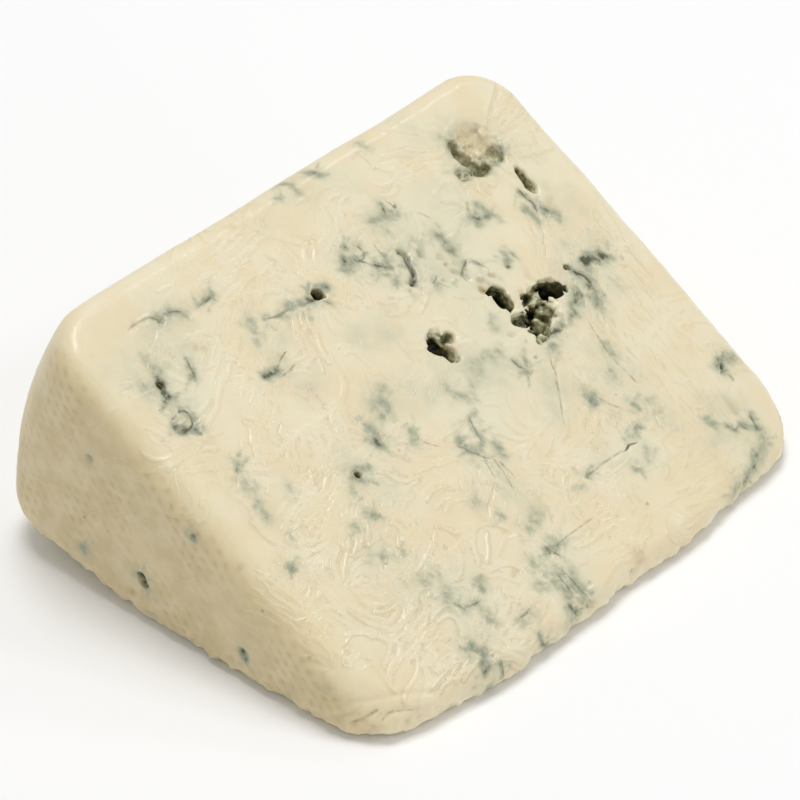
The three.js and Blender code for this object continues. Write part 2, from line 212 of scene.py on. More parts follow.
# Blue stains with torn edges: strength, half width, route.
STAINS = [
    (0.60, 0.8, [(308, 173), (315, 172), (320, 176)]),
    (0.45, 0.9, [(283, 184), (291, 185), (298, 193)]),
    (0.45, 0.6, [(276, 198), (282, 199)]),
    (0.30, 1.2, [(360, 144), (366, 147)]),
    (0.60, 0.8, [(381, 206), (384, 212), (390, 215), (397, 212)]),
    (0.50, 0.9, [(371, 221), (378, 218), (384, 215)]),
    (0.45, 0.8, [(376, 224), (385, 229)]),
    (0.60, 0.7, [(345, 247), (347, 249)]),
    (0.40, 0.8, [(349, 248), (358, 247)]),
    (0.70, 1.2, [(345, 261), (352, 263), (356, 261)]),
    (0.50, 1.0, [(345, 270), (352, 272)]),
    (0.65, 0.9, [(376, 265), (386, 266), (390, 268)]),
    (0.50, 0.8, [(384, 255), (387, 262)]),
    (0.45, 0.8, [(382, 273), (396, 278), (397, 283)]),
    (0.35, 0.8, [(414, 238), (420, 240)]),
    (0.45, 0.7, [(418, 252), (419, 255)]),
    (0.65, 0.9, [(399, 252), (406, 258), (412, 268), (415, 278), (413, 284)]),
    (0.60, 1.1, [(440, 236), (447, 244), (453, 252)]),
    (0.45, 0.7, [(434, 278), (436, 286)]),
    (0.45, 0.9, [(478, 205), (487, 212), (494, 216)]),
    (0.60, 0.8, [(472, 217), (480, 218), (486, 218)]),
    (0.50, 0.7, [(472, 222), (478, 224)]),
    (0.65, 0.7, [(504, 254), (506, 260), (508, 265)]),
    (0.50, 0.5, [(513, 255), (515, 257)]),
    (0.55, 0.7, [(464, 263), (463, 272)]),
    (0.45, 0.6, [(474, 262), (482, 265)]),
    (0.70, 0.6, [(519, 190), (526, 197), (534, 203), (540, 208)]),
    (0.65, 1.1, [(540, 210), (548, 211), (556, 215)]),
    (0.50, 0.9, [(525, 208), (533, 214), (540, 221)]),
    (1.00, 1.3, [(586, 262), (593, 258), (600, 257)]),
    (0.65, 0.9, [(602, 256), (610, 257)]),
    (0.75, 0.9, [(587, 264), (586, 268)]),
    (0.80, 0.8, [(572, 270), (580, 274), (586, 277)]),
    (0.80, 1.2, [(588, 281), (592, 290)]),
    (0.80, 1.1, [(578, 295), (577, 303)]),
    (0.75, 1.1, [(590, 296), (598, 303)]),
    (0.65, 1.0, [(572, 308), (574, 315)]),
    (0.70, 0.8, [(548, 335), (556, 331), (562, 328)]),
    (0.55, 1.0, [(552, 345), (556, 350)]),
    (0.60, 0.7, [(514, 362), (520, 367), (528, 373)]),
    (0.50, 0.6, [(523, 358), (528, 366)]),
    (0.35, 1.3, [(472, 365), (480, 370)]),
    (0.40, 1.2, [(484, 358), (498, 353)]),
    (0.45, 1.0, [(447, 388), (455, 395), (466, 397)]),
    (0.35, 1.0, [(471, 382), (472, 392)]),
    (0.45, 0.7, [(470, 419), (475, 413)]),
    (0.35, 1.0, [(493, 318), (494, 328)]),
    (0.65, 1.3, [(590, 395), (593, 402)]),
    (0.60, 0.8, [(631, 404), (638, 407)]),
    (0.30, 0.9, [(642, 402), (654, 400)]),
    (0.45, 0.8, [(612, 372), (613, 375)]),
    (0.40, 1.0, [(604, 343), (612, 355)]),
    (0.55, 0.7, [(637, 430), (642, 426)]),
    (0.45, 0.7, [(628, 439), (636, 433)]),
    (0.55, 0.7, [(587, 476), (590, 474)]),
    (0.35, 0.8, [(578, 487), (582, 485)]),
    (0.35, 0.8, [(645, 447), (648, 458)]),
    (0.50, 0.6, [(636, 468), (641, 469)]),
    (1.00, 0.8, [(719, 363), (722, 370)]),
    (0.50, 1.3, [(726, 358), (733, 358)]),
    (0.55, 1.0, [(709, 420), (717, 426)]),
    (0.50, 0.8, [(727, 426), (735, 431)]),
    (0.55, 0.9, [(742, 425), (750, 427), (758, 428)]),
    (0.55, 0.7, [(751, 413), (752, 418)]),
    (0.35, 0.6, [(729, 406), (735, 411)]),
    (0.45, 1.2, [(758, 430), (763, 440), (762, 450)]),
    (0.55, 1.2, [(756, 455), (755, 466), (750, 474), (746, 482)]),
    (0.45, 1.2, [(738, 486), (733, 494)]),
    (0.55, 1.0, [(158, 318), (166, 314), (178, 312), (186, 315)]),
    (0.55, 0.8, [(200, 304), (206, 300), (212, 296)]),
    (1.10, 0.8, [(158, 378), (163, 390), (167, 397)]),
    (0.45, 1.2, [(148, 362), (158, 372)]),
    (0.40, 1.5, [(145, 385), (152, 390)]),
    (0.55, 0.7, [(187, 360), (191, 368), (194, 377)]),
    # The next two stains paint the shade round the raised bubble at (183, 421) and in the groove below
    # it, as blue-grey haze.
    (0.75, 1.1, [(176, 430), (186, 432), (196, 430)]),
    (0.50, 1.3, [(178, 410), (185, 410), (190, 416)]),
    (0.40, 1.2, [(250, 320), (254, 330), (256, 339)]),
    (0.50, 0.7, [(266, 319), (276, 317), (286, 311)]),
    (0.55, 1.1, [(290, 305), (298, 303), (306, 304)]),
    (0.80, 1.0, [(308, 300), (316, 298)]),
    (0.75, 0.8, [(322, 290), (326, 287)]),
    (0.40, 0.7, [(322, 300), (330, 304)]),
    (0.35, 0.8, [(287, 313), (288, 318)]),
    (0.35, 0.8, [(305, 312), (308, 316)]),
    (0.80, 0.9, [(264, 376), (270, 373), (277, 371)]),
    (0.60, 0.8, [(236, 462), (238, 471)]),
    (0.30, 1.2, [(240, 478), (246, 484)]),
    (0.35, 1.2, [(250, 489), (257, 500)]),
    (0.40, 1.0, [(257, 508), (263, 511), (268, 518)]),
    (0.35, 0.8, [(289, 484), (291, 491)]),
    (0.70, 0.8, [(290, 568), (293, 569)]),
    (0.30, 0.8, [(288, 535), (290, 538)]),
    (0.50, 1.3, [(376, 404), (382, 400), (386, 408)]),
    (0.55, 1.1, [(388, 410), (383, 415)]),
    (0.40, 1.2, [(382, 390), (380, 395)]),
    (0.60, 1.1, [(368, 428), (373, 434)]),
    (0.80, 1.2, [(374, 439), (380, 444)]),
    (0.45, 0.9, [(412, 432), (416, 440)]),
    (0.35, 0.8, [(411, 443), (416, 444)]),
    (0.55, 0.9, [(356, 470), (366, 468)]),
    (0.70, 0.9, [(355, 477), (362, 478)]),
    (0.30, 1.0, [(353, 490), (358, 499)]),
    (0.45, 1.2, [(368, 514), (376, 517)]),
    (0.40, 1.1, [(355, 526), (357, 528)]),
    (0.50, 1.1, [(460, 440), (468, 448), (476, 453)]),
    (0.45, 0.7, [(472, 422), (477, 432), (482, 440), (481, 450)]),
    (0.50, 1.0, [(497, 445), (502, 454)]),
    (0.35, 1.0, [(474, 500), (480, 505)]),
    (0.45, 0.6, [(497, 513), (503, 517)]),
    (0.35, 1.4, [(528, 528), (540, 512)]),
    (0.65, 1.0, [(546, 548), (549, 552)]),
    (0.50, 0.8, [(556, 548), (562, 543)]),
    (0.30, 1.2, [(552, 541), (560, 540)]),
    (0.30, 1.0, [(531, 560), (534, 568)]),
    (0.35, 1.0, [(540, 566), (545, 575)]),
    (0.60, 1.5, [(562, 576), (570, 578), (574, 583)]),
    (0.55, 1.0, [(578, 584), (582, 589)]),
    (0.45, 0.9, [(553, 582), (557, 588)]),
    (0.50, 1.1, [(563, 588), (568, 597)]),
    (0.60, 1.0, [(571, 606), (575, 613)]),
    (0.50, 1.2, [(580, 600), (587, 596)]),
    (0.45, 1.2, [(572, 618), (576, 616)]),
    (0.35, 1.4, [(538, 588), (546, 586)]),
    (0.35, 1.3, [(522, 622), (530, 616)]),
    (0.45, 0.8, [(537, 632), (541, 640)]),
    (0.65, 0.7, [(542, 643), (547, 646)]),
    (0.55, 0.9, [(481, 583), (482, 590)]),
    (0.35, 1.2, [(444, 588), (450, 600)]),
    (0.45, 0.8, [(456, 603), (465, 609), (476, 603)]),
    (0.45, 1.2, [(486, 612), (492, 620)]),
    (0.60, 1.3, [(470, 646), (476, 651)]),
    (0.60, 1.1, [(481, 652), (483, 656)]),
    (0.60, 1.1, [(484, 661), (487, 668)]),
    (0.70, 0.8, [(486, 674), (489, 669)]),
    (0.60, 0.7, [(502, 664), (503, 676)]),
    (0.55, 0.8, [(487, 687), (490, 689)]),
    (0.40, 1.5, [(424, 582), (432, 574)]),
    (0.35, 0.9, [(370, 555), (384, 557)]),
    (0.35, 0.8, [(396, 556), (404, 552)]),
    (0.70, 1.0, [(450, 146), (460, 158), (474, 169)]),
    (0.80, 1.2, [(482, 169), (492, 160), (500, 152)]),
    (0.60, 1.0, [(458, 172), (468, 178)]),
    (0.35, 1.0, [(447, 140), (456, 131)]),
    (0.40, 0.8, [(466, 127), (476, 127)]),
    (0.50, 0.7, [(88, 458), (90, 460)]),
    (0.45, 1.2, [(83, 546), (85, 550)]),
    (0.70, 1.1, [(141, 578), (144, 582)]),
    (0.55, 0.7, [(192, 536), (194, 538)]),
    (0.65, 0.9, [(242, 652), (245, 658)]),
    (0.45, 0.6, [(323, 691), (325, 693)]),
]

# Wide, faint blue-grey clouds: strength, half width, route.
CLOUDS = [
    (0.50, 4.0, [(165, 318), (150, 332), (186, 350)]),
    (0.45, 3.5, [(120, 368), (152, 376), (165, 395)]),
    (0.60, 3.5, [(278, 345), (288, 360), (306, 380)]),
    (0.60, 3.5, [(362, 338), (390, 326)]),
    (0.30, 4.0, [(350, 255), (390, 270)]),
    (0.50, 4.5, [(418, 268), (450, 268), (482, 286)]),
    (0.50, 4.5, [(442, 200), (450, 232)]),
    # The next cloud is partly painted shade: the shadows of the folds there.
    (0.45, 3.0, [(540, 186), (563, 195), (576, 206)]),
    (0.50, 4.5, [(566, 250), (572, 272), (584, 298)]),
    (0.40, 4.0, [(590, 240), (600, 262), (612, 285)]),
    (0.25, 4.5, [(490, 318), (510, 325), (520, 345)]),
    (0.45, 4.5, [(385, 225), (410, 250), (430, 262)]),
    (0.50, 4.5, [(426, 368), (460, 366), (500, 372)]),
    (0.65, 3.0, [(548, 352), (553, 372), (556, 412)]),
    (0.50, 3.5, [(402, 394), (430, 396)]),
    (0.30, 3.5, [(375, 400), (378, 445)]),
    (0.40, 3.5, [(350, 458), (372, 482), (392, 486)]),
    (0.55, 3.0, [(486, 460), (500, 480), (516, 494)]),
    (0.40, 4.0, [(592, 358), (626, 364), (616, 396)]),
    (0.45, 3.5, [(648, 412), (665, 420)]),
    (0.40, 3.5, [(602, 458), (640, 454)]),
    (0.50, 3.5, [(716, 408), (742, 406)]),
    (0.50, 3.5, [(716, 440), (746, 440)]),
    (0.35, 3.0, [(760, 440), (752, 470)]),
    (0.30, 4.0, [(560, 575), (580, 600)]),
    (0.40, 4.0, [(458, 585), (480, 628)]),
    (0.30, 3.5, [(475, 645), (490, 675)]),
    (0.30, 4.0, [(376, 554), (415, 594)]),
    (0.30, 4.0, [(406, 123), (420, 146)]),
    (0.35, 3.0, [(496, 128), (522, 152)]),
    (0.25, 4.0, [(342, 182), (252, 216)]),
    (0.40, 3.5, [(452, 128), (442, 150)]),
]

# Thin dark lines of mould, many of them along the cracks, where their darkness is also painted shade:
# darkness, half width, route.
THREADS = [
    (1.00, 0.34, [(399, 251), (404, 253), (407, 260), (411, 267), (414, 273), (416, 278), (413, 284)]),
    (0.60, 0.18, [(358, 247), (363, 251), (364, 258), (360, 261)]),
    (0.80, 0.22, [(356, 261), (361, 262), (365, 263)]),
    (0.80, 0.22, [(371, 264), (378, 266), (386, 267)]),
    (0.70, 0.22, [(382, 207), (384, 212)]),
    (0.50, 0.16, [(388, 202), (394, 206)]),
    (0.40, 0.16, [(375, 246), (380, 253), (384, 256)]),
    (0.50, 0.16, [(422, 214), (428, 217)]),
    (0.70, 0.20, [(466, 262), (463, 268), (462, 275), (468, 280)]),
    (0.50, 0.16, [(474, 261), (482, 266), (488, 268), (489, 274)]),
    (0.50, 0.16, [(436, 278), (433, 283)]),
    (0.50, 0.16, [(440, 284), (447, 287)]),
    (1.00, 0.28, [(574, 271), (580, 274), (586, 277), (591, 282)]),
    (0.60, 0.18, [(590, 283), (594, 292), (600, 300)]),
    (0.80, 0.20, [(520, 190), (526, 197), (534, 202), (536, 210)]),
    (0.70, 0.22, [(548, 335), (554, 332), (560, 331)]),
    (0.50, 0.16, [(549, 352), (552, 364), (556, 373), (556, 380), (559, 392), (561, 408), (564, 422)]),
    (0.60, 0.18, [(514, 362), (518, 367), (524, 368), (528, 373)]),
    (0.45, 0.22, [(590, 325), (600, 340), (608, 352), (618, 364), (634, 380)]),
    (0.60, 0.20, [(150, 317), (158, 319), (162, 321)]),
    (0.40, 0.22, [(130, 328), (140, 321), (150, 317)]),
    (0.55, 0.20, [(166, 313), (178, 311)]),
    (0.55, 0.26, [(203, 303), (212, 296)]),
    (0.55, 0.20, [(187, 361), (191, 368), (194, 376)]),
    # This ring paints the shade in the groove round the raised bubble at (183, 421).
    (0.80, 0.20, [(174, 418), (180, 412), (186, 412), (191, 418), (193, 424), (190, 429), (184, 430)]),
    (0.50, 0.20, [(266, 319), (275, 317), (286, 311)]),
    (0.70, 0.22, [(304, 305), (315, 299)]),
    (0.45, 0.16, [(323, 300), (330, 304)]),
    (0.60, 0.16, [(276, 370), (280, 361), (285, 352)]),
    (0.50, 0.18, [(284, 375), (289, 372), (293, 367)]),
    (0.70, 0.20, [(460, 446), (470, 451), (480, 455), (488, 458)]),
    (0.50, 0.16, [(470, 418), (476, 430), (481, 440)]),
    (0.50, 0.16, [(500, 462), (507, 468), (512, 474)]),
    (0.55, 0.16, [(484, 461), (489, 468), (493, 476)]),
    (0.40, 0.16, [(494, 460), (505, 475), (516, 495)]),
    (0.50, 0.16, [(425, 443), (435, 446)]),
    (0.50, 0.16, [(600, 399), (608, 404), (617, 407)]),
    (1.00, 0.22, [(627, 448), (629, 445), (634, 443)]),
    (0.50, 0.18, [(590, 474), (600, 466), (612, 457), (622, 451)]),
    (0.80, 0.20, [(549, 553), (553, 552), (557, 553), (561, 556)]),
    (0.55, 0.20, [(545, 547), (549, 551)]),
    (0.40, 0.16, [(560, 543), (566, 537), (574, 531), (590, 520)]),
    (0.70, 0.22, [(570, 605), (574, 611), (578, 615)]),
    (0.50, 0.16, [(578, 610), (586, 607)]),
    (0.55, 0.16, [(560, 578), (568, 588), (572, 596)]),
    (0.55, 0.16, [(568, 576), (580, 590), (590, 600)]),
    (0.60, 0.20, [(518, 622), (521, 617), (527, 612)]),
    (0.55, 0.16, [(541, 642), (544, 646)]),
    (0.70, 0.20, [(486, 672), (489, 668)]),
    (0.60, 0.20, [(502, 664), (503, 675)]),
    (0.45, 0.16, [(455, 603), (465, 609), (478, 602)]),
    (0.60, 0.20, [(740, 424), (745, 428)]),
    (0.60, 0.20, [(751, 418), (756, 426)]),
    (0.50, 0.20, [(728, 426), (735, 431), (738, 425)]),
    (0.70, 0.20, [(756, 466), (750, 476), (746, 483)]),
    (0.70, 0.22, [(719, 362), (722, 368), (721, 372)]),
    (0.60, 0.18, [(447, 141), (452, 150), (458, 157)]),
    (0.50, 0.25, [(352, 723), (362, 720), (370, 715), (376, 711)]),
    (0.35, 0.20, [(382, 720), (388, 714), (396, 711), (412, 710)]),
]
# Dark dots of mould, many of them at the pricks and pits, where their darkness is also painted shade:
# darkness, radius, place.
DOTS = [
    (1.0, 0.60, (319, 294)),
    (1.0, 0.45, (358, 474)),
    (0.9, 0.38, (395, 206)),
    (0.7, 0.30, (383, 210)),
    (0.7, 0.36, (446, 264)),
    (0.7, 0.32, (345, 247)),
    (0.8, 0.34, (201, 434)),
    (0.5, 0.34, (256, 339)),
    (0.5, 0.28, (384, 435)),
    (0.5, 0.28, (390, 452)),
    (0.5, 0.24, (398, 390)),
    (0.4, 0.24, (414, 393)),
    (0.5, 0.30, (536, 522)),
    (0.5, 0.34, (647, 504)),
    (0.6, 0.38, (588, 476)),
    (0.7, 0.34, (592, 594)),
    (0.6, 0.30, (493, 655)),
    (0.5, 0.32, (470, 657)),
    (0.7, 0.38, (488, 669)),
    (0.6, 0.28, (386, 563)),
    (0.6, 0.32, (424, 587)),
    (0.7, 0.40, (291, 568)),
    (0.4, 0.24, (330, 468)),
    (0.4, 0.28, (258, 232)),
    (0.8, 0.36, (480, 218)),
    (0.8, 0.34, (508, 266)),
    (0.4, 0.28, (616, 395)),
    (0.6, 0.45, (757, 455)),
    (0.5, 0.36, (375, 440)),
    (0.9, 0.40, (162, 321)),
    (0.8, 0.55, (593, 259)),
    (0.6, 0.34, (578, 299)),
    (0.6, 0.30, (590, 283)),
    (0.6, 0.36, (536, 357)),
    (0.5, 0.40, (89, 459)),
    (0.6, 0.40, (193, 537)),
    (0.8, 0.40, (242, 652)),
    (0.6, 0.30, (262, 611)),
    (0.6, 0.28, (84, 517)),
    (0.5, 0.26, (108, 531)),
    (0.5, 0.34, (309, 657)),
]

# Brownish patches: strength, radius, place.
TAN_PATCHES = [
    (1.0, 2.4, (468, 134)),
    (1.0, 2.4, (480, 142)),
    (0.9, 1.2, (470, 150)),
    (0.8, 1.0, (548, 200)),
    (0.8, 0.9, (553, 205)),
    (1.0, 0.7, (557, 384)),
    (1.0, 0.6, (448, 265)),
    (1.0, 0.5, (414, 296)),
    (1.0, 0.7, (196, 348)),
    (1.0, 0.6, (204, 349)),
    (1.0, 0.7, (281, 356)),
    (1.0, 0.6, (288, 372)),
    (1.0, 0.6, (231, 479)),
    (1.0, 0.5, (296, 544)),
    (1.0, 0.5, (513, 573)),
    (1.0, 0.5, (568, 563)),
    (0.9, 0.9, (636, 552)),
    (0.9, 0.9, (640, 561)),
    (1.0, 0.6, (240, 567)),
    (1.0, 0.6, (134, 325)),
    (1.0, 0.9, (484, 289)),
    (0.9, 0.9, (522, 294)),
    (1.0, 0.8, (660, 411)),
    (0.8, 0.6, (308, 388)),
    (1.0, 0.8, (732, 408)),
    (0.9, 0.9, (452, 343)),
    (0.9, 0.6, (512, 301)),
]
# Whiter, cooler curd: strength, radius, place.
WHITE_PATCHES = [
    (1.0, 13.0, (440, 250)),
    (1.0, 9.0, (500, 340)),
    (1.0, 7.0, (480, 410)),
    (1.0, 6.0, (180, 390)),
    (1.0, 6.0, (560, 560)),
    (1.0, 6.0, (460, 600)),
    (1.0, 2.2, (560, 313)),
    (1.0, 1.8, (577, 281)),
    (1.0, 5.0, (640, 450)),
    (1.0, 0.8, (133, 574)),
]
# Yellower curd along the edges: strength, half width, route.
YELLOW_PATCHES = [
    (0.9, 3.5, [(60, 362), (110, 420), (170, 490), (230, 560)]),
    (1.0, 6.0, [(230, 560), (265, 600), (300, 640)]),
    (0.9, 4.0, [(330, 690), (380, 712)]),
    (0.6, 4.0, [(130, 535), (165, 580)]),
    (0.6, 4.0, [(220, 622), (240, 655)]),
    (0.5, 5.0, [(600, 560), (660, 510), (720, 460)]),
    (0.5, 6.0, [(180, 200), (300, 130)]),
]

# Folds that fan out from a place: from and to angle in degrees (clockwise from the right), inner and
# outer radius in pixels, how many, strength, place.
FOLD_FANS = [
    ((55, 115), (8, 46), 12, 0.8, (162, 321)),
    ((-75, -30), (10, 90), 12, 0.5, (165, 312)),
    ((150, 265), (8, 40), 12, 0.6, (161, 385)),
    ((20, 75), (6, 34), 7, 0.8, (161, 385)),
    ((30, 150), (6, 26), 14, 0.8, (184, 430)),
    ((190, 300), (9, 60), 20, 0.7, (319, 295)),
    ((140, 190), (12, 70), 7, 0.6, (319, 295)),
    ((-40, 120), (9, 40), 12, 0.5, (319, 295)),
    ((230, 310), (6, 40), 10, 0.5, (254, 332)),
    ((50, 120), (6, 40), 8, 0.5, (254, 332)),
    ((0, 360), (9, 46), 22, 0.4, (271, 374)),
    ((-20, 130), (10, 50), 14, 0.6, (347, 265)),
    ((120, 240), (14, 50), 12, 0.5, (382, 214)),
    ((0, 360), (8, 50), 24, 0.6, (358, 474)),
    ((-35, 60), (9, 34), 12, 0.9, (376, 441)),
    ((130, 250), (9, 40), 10, 0.5, (376, 441)),
    ((55, 105), (5, 26), 12, 1.0, (484, 457)),
    ((5, 45), (10, 90), 14, 0.6, (484, 457)),
    ((170, 200), (14, 70), 7, 0.5, (484, 457)),
    ((-30, 70), (9, 38), 16, 1.0, (595, 261)),
    ((215, 290), (9, 46), 12, 0.6, (592, 262)),
    ((35, 80), (12, 48), 14, 1.0, (572, 268)),
    ((15, 160), (7, 30), 14, 0.9, (596, 401)),
    ((-15, 15), (10, 50), 7, 0.6, (596, 401)),
    ((-85, 10), (26, 74), 18, 0.7, (480, 150)),
    ((150, 215), (24, 90), 10, 0.5, (470, 152)),
    ((40, 130), (8, 26), 8, 0.8, (476, 172)),
    ((40, 95), (10, 50), 12, 0.9, (548, 214)),
    ((50, 150), (12, 56), 16, 0.5, (440, 350)),
    ((15, 75), (14, 60), 14, 0.7, (548, 335)),
    ((0, 360), (6, 34), 18, 0.6, (292, 568)),
    ((-60, 80), (8, 40), 12, 0.5, (236, 470)),
    ((-60, 60), (4, 18), 9, 0.8, (725, 362)),
    ((120, 220), (8, 34), 9, 0.5, (725, 362)),
    ((100, 200), (8, 40), 12, 0.7, (755, 440)),
    ((150, 260), (10, 60), 16, 0.8, (572, 590)),
    ((20, 110), (6, 26), 12, 0.9, (572, 590)),
    ((190, 320), (8, 44), 16, 0.7, (484, 660)),
    ((-80, 20), (7, 40), 12, 0.7, (424, 586)),
    ((190, 330), (8, 40), 14, 0.7, (552, 548)),
]
# Folds side by side: their angle in degrees, least and greatest length, width of the band in pixels,
# how many, strength, place of the middle.
FOLD_BANDS = [
    (80, (40, 90), 26, 12, 0.8, (549, 258)),
    (52, (60, 150), 60, 20, 0.7, (625, 290)),
    (50, (60, 150), 60, 18, 0.6, (680, 370)),
    (58, (30, 90), 70, 18, 0.7, (610, 350)),
    (75, (30, 70), 60, 10, 0.5, (560, 400)),
    (62, (10, 17), 46, 14, 1.0, (641, 424)),
    (-52, (16, 50), 70, 18, 0.8, (320, 510)),
    (-80, (14, 30), 30, 8, 0.8, (392, 505)),
    (-66, (18, 40), 30, 9, 1.0, (433, 568)),
    (-50, (16, 44), 90, 22, 1.0, (432, 650)),
    (-58, (16, 44), 50, 12, 0.9, (512, 618)),
    (-42, (20, 60), 60, 14, 0.6, (590, 470)),
    (-35, (20, 60), 60, 12, 0.6, (620, 530)),
    (35, (20, 60), 80, 12, 0.5, (270, 610)),
    (-75, (20, 50), 70, 10, 0.5, (230, 360)),
    (-45, (30, 80), 60, 10, 0.5, (220, 270)),
    (40, (20, 60), 80, 12, 0.4, (330, 620)),
    (60, (16, 40), 50, 8, 0.6, (520, 150)),
    (-30, (20, 60), 70, 10, 0.5, (690, 480)),
]
# Loose folds that flow side by side: half size of a patch in pixels, how many, strength, place.
FOLD_FLOWS = [
    ((80, 80), 130, 0.9, (370, 590)),
    ((80, 60), 70, 0.8, (320, 480)),
    ((70, 60), 60, 0.8, (440, 500)),
    ((70, 50), 60, 0.8, (560, 500)),
    ((100, 80), 80, 0.7, (240, 400)),
    ((60, 80), 50, 0.7, (660, 350)),
    ((60, 60), 70, 0.9, (480, 610)),
    ((70, 50), 50, 0.7, (630, 490)),
    ((60, 50), 40, 0.6, (400, 190)),
    ((90, 60), 60, 0.6, (260, 250)),
    ((60, 60), 40, 0.6, (540, 400)),
    ((60, 60), 40, 0.6, (400, 320)),
    ((100, 60), 60, 0.6, (110, 500)),
]
FLOW_LENGTH = (8, 56)
FLOW_WAVES = ((19.0, 23.0, 75), (31.0, 17.0, 55))  # length across, length down, swing in degrees
FLOW_BEND = 1.4
FLOW_JITTER = 6  # degrees
FLOW_SHARE = (0.3, 1.0)  # of the patch's strength
FOLD_SEED = 4
FOLD_STEPS = 6
FOLD_HALF_WIDTH = (0.16, 0.36)
FOLD_HEIGHT = 0.14
FOLD_SHARE = (0.45, 1.0)  # of the fan's or band's strength
FOLD_WAVE = (0.03, 9)  # height and turn of a fold's waves, for a fold of length 1
FAN_START = (0.8, 1.6)
FAN_LENGTH = (0.35, 1.0)
FAN_BOW = 0.12
BAND_JITTER = 5  # degrees
BAND_SHIFT = (-0.3, 0.3)
BAND_BOW = 0.08

# Twigs that grow out of each stain: how many, length in pixels, share of the stain's strength.
TWIG_SEED = 8
TWIGS = 4
TWIG_LENGTH = (4, 18)
TWIG_STRENGTH = (0.3, 0.8)
TWIG_HALF_WIDTH = 0.34
TWIG_BEND = 25  # degrees
HALO_WIDTH = 2.6  # a stain's halo, as many times as wide

MAT_PITCH = (2.4, 1.9)  # dimples of the flat faces, along and across their long axis
MAT_TURN = math.radians(48)
MAT_DEPTH = 0.16
MAT_HALF = (0.28, 0.22)  # half size of a dimple, in pitches
MAT_WOBBLE = (0.6, 5)  # how far the rows wander, and over what length
MAT_PATCH = 9  # size of the patches where the mat pressed harder
MAT_LEAST = 0.15

FLOOR_HALF_SIZE = 3000.0
FLOOR_GAP = 0.05
SKY = 0.45
# Lamps: name, direction, distance and size in metres, power in watts.
LAMPS = [
    ("key", (-0.14, 0.05, 0.95), 1.4, 0.6, 9.8),
    ("left_glint", (-0.10, 0.62, 0.78), 1.2, 0.15, 0.5),
    ("right_glint", (0.60, 0.45, 0.66), 1.2, 0.15, 1.2),
    ("edge_fill", (0.90, 0.05, 0.15), 1.2, 0.7, 2.4),
]


# ------------------------------------------------------------------------------------------- helpers
def fade(value, limits):
    """0 at the first limit, 1 at the second, smooth between."""
    t = np.clip((value - limits[0]) / (limits[1] - limits[0]), 0, 1)
    return t * t * (3 - 2 * t)


def rounded_max(a, b, radius):
    """Distance of two solids' intersection, its edge rounded."""
    corner = np.hypot(np.maximum(a + radius, 0), np.maximum(b + radius, 0))
    return np.minimum(np.maximum(a, b), -radius) + corner


LATTICE = 32
LATTICE_SEED = 5
SEED_SHIFT = 3.71  # how far a seed moves the noise, in lumps
NOISE_GAIN = 1.6
ROUGH_RANGE = 1.5


def lattice_gradients():
    draw = np.random.default_rng(LATTICE_SEED).standard_normal((LATTICE**3, 3)).astype(np.float32)
    return draw / np.linalg.norm(draw, axis=1)[:, None]


GRADIENTS = lattice_gradients()


def noise(points, size, seed=0):
    """Smooth noise, about -1 to 1, with lumps of the given size."""
    scaled = points / np.float32(size) + np.float32(seed * SEED_SHIFT)
    cell = np.floor(scaled).astype(np.int32)
    part = (scaled - cell).astype(np.float32)
    ease = part * part * part * (part * (part * 6 - 15) + 10)
    total = np.zeros(len(points), np.float32)
    for corner in np.ndindex(2, 2, 2):
        at = (cell + np.array(corner, np.int32)) & (LATTICE - 1)
        gradient = GRADIENTS[(at[:, 0] * LATTICE + at[:, 1]) * LATTICE + at[:, 2]]
        offset = part - np.array(corner, np.float32)
        weight = np.prod(np.where(corner, ease, 1 - ease), axis=1)
        total += weight * np.einsum("ij,ij->i", gradient, offset)
    return total * NOISE_GAIN


def rough(points, size, octaves, seed=0):
    """Noise with ever smaller lumps on it."""
    total = np.zeros(len(points), np.float32)
    for octave in range(octaves):
        total += noise(points, size / 2**octave, seed + 7 * octave) / 2**octave
    return total / ROUGH_RANGE


# --------------------------------------------------------------------------------- the wedge's form
def edge_bow(y):
    """How far the thin edge stands out at a place along Y."""
    out = EDGE_BOW * (1 - (2 * y / WHEEL_HEIGHT) ** 2)
    for across, width, height in EDGE_SCALLOPS:
        out = out + height * np.exp(-(((y - across) / width) ** 2))
    return out


def cut_distance(x, z):
    """Distance from the two cut planes and the round thin edge that joins them."""
    sin, cos = math.sin(CUT_ANGLE), math.cos(CUT_ANGLE)
    from_edge_x = x + THIN_EDGE_RADIUS / math.tan(CUT_ANGLE / 2)
    from_edge_z = z - THIN_EDGE_RADIUS
    past_edge = (from_edge_x > 0) & (cos * from_edge_x > sin * from_edge_z)
    edge = np.hypot(from_edge_x, from_edge_z) - THIN_EDGE_RADIUS
    return np.where(past_edge, edge, np.maximum(sin * x + cos * z, -z))


def swell(x, y, z):
    """Slow unevenness of the pressed curd, none of it on the resting face."""
    along_x = np.sin(x / SWELL_WAVE[0] + SWELL_BEND * np.sin(y / SWELL_WAVE[1]))
    along_y = np.sin(y / SWELL_WAVE[0] + SWELL_BEND * np.cos(x / SWELL_WAVE[1]))
    height = SWELL_HEIGHT * fade(z, (0, SWELL_FADE_Z))
    return height * (along_x * along_y + np.sin(z / SWELL_WAVE[2] + along_x)) / 2


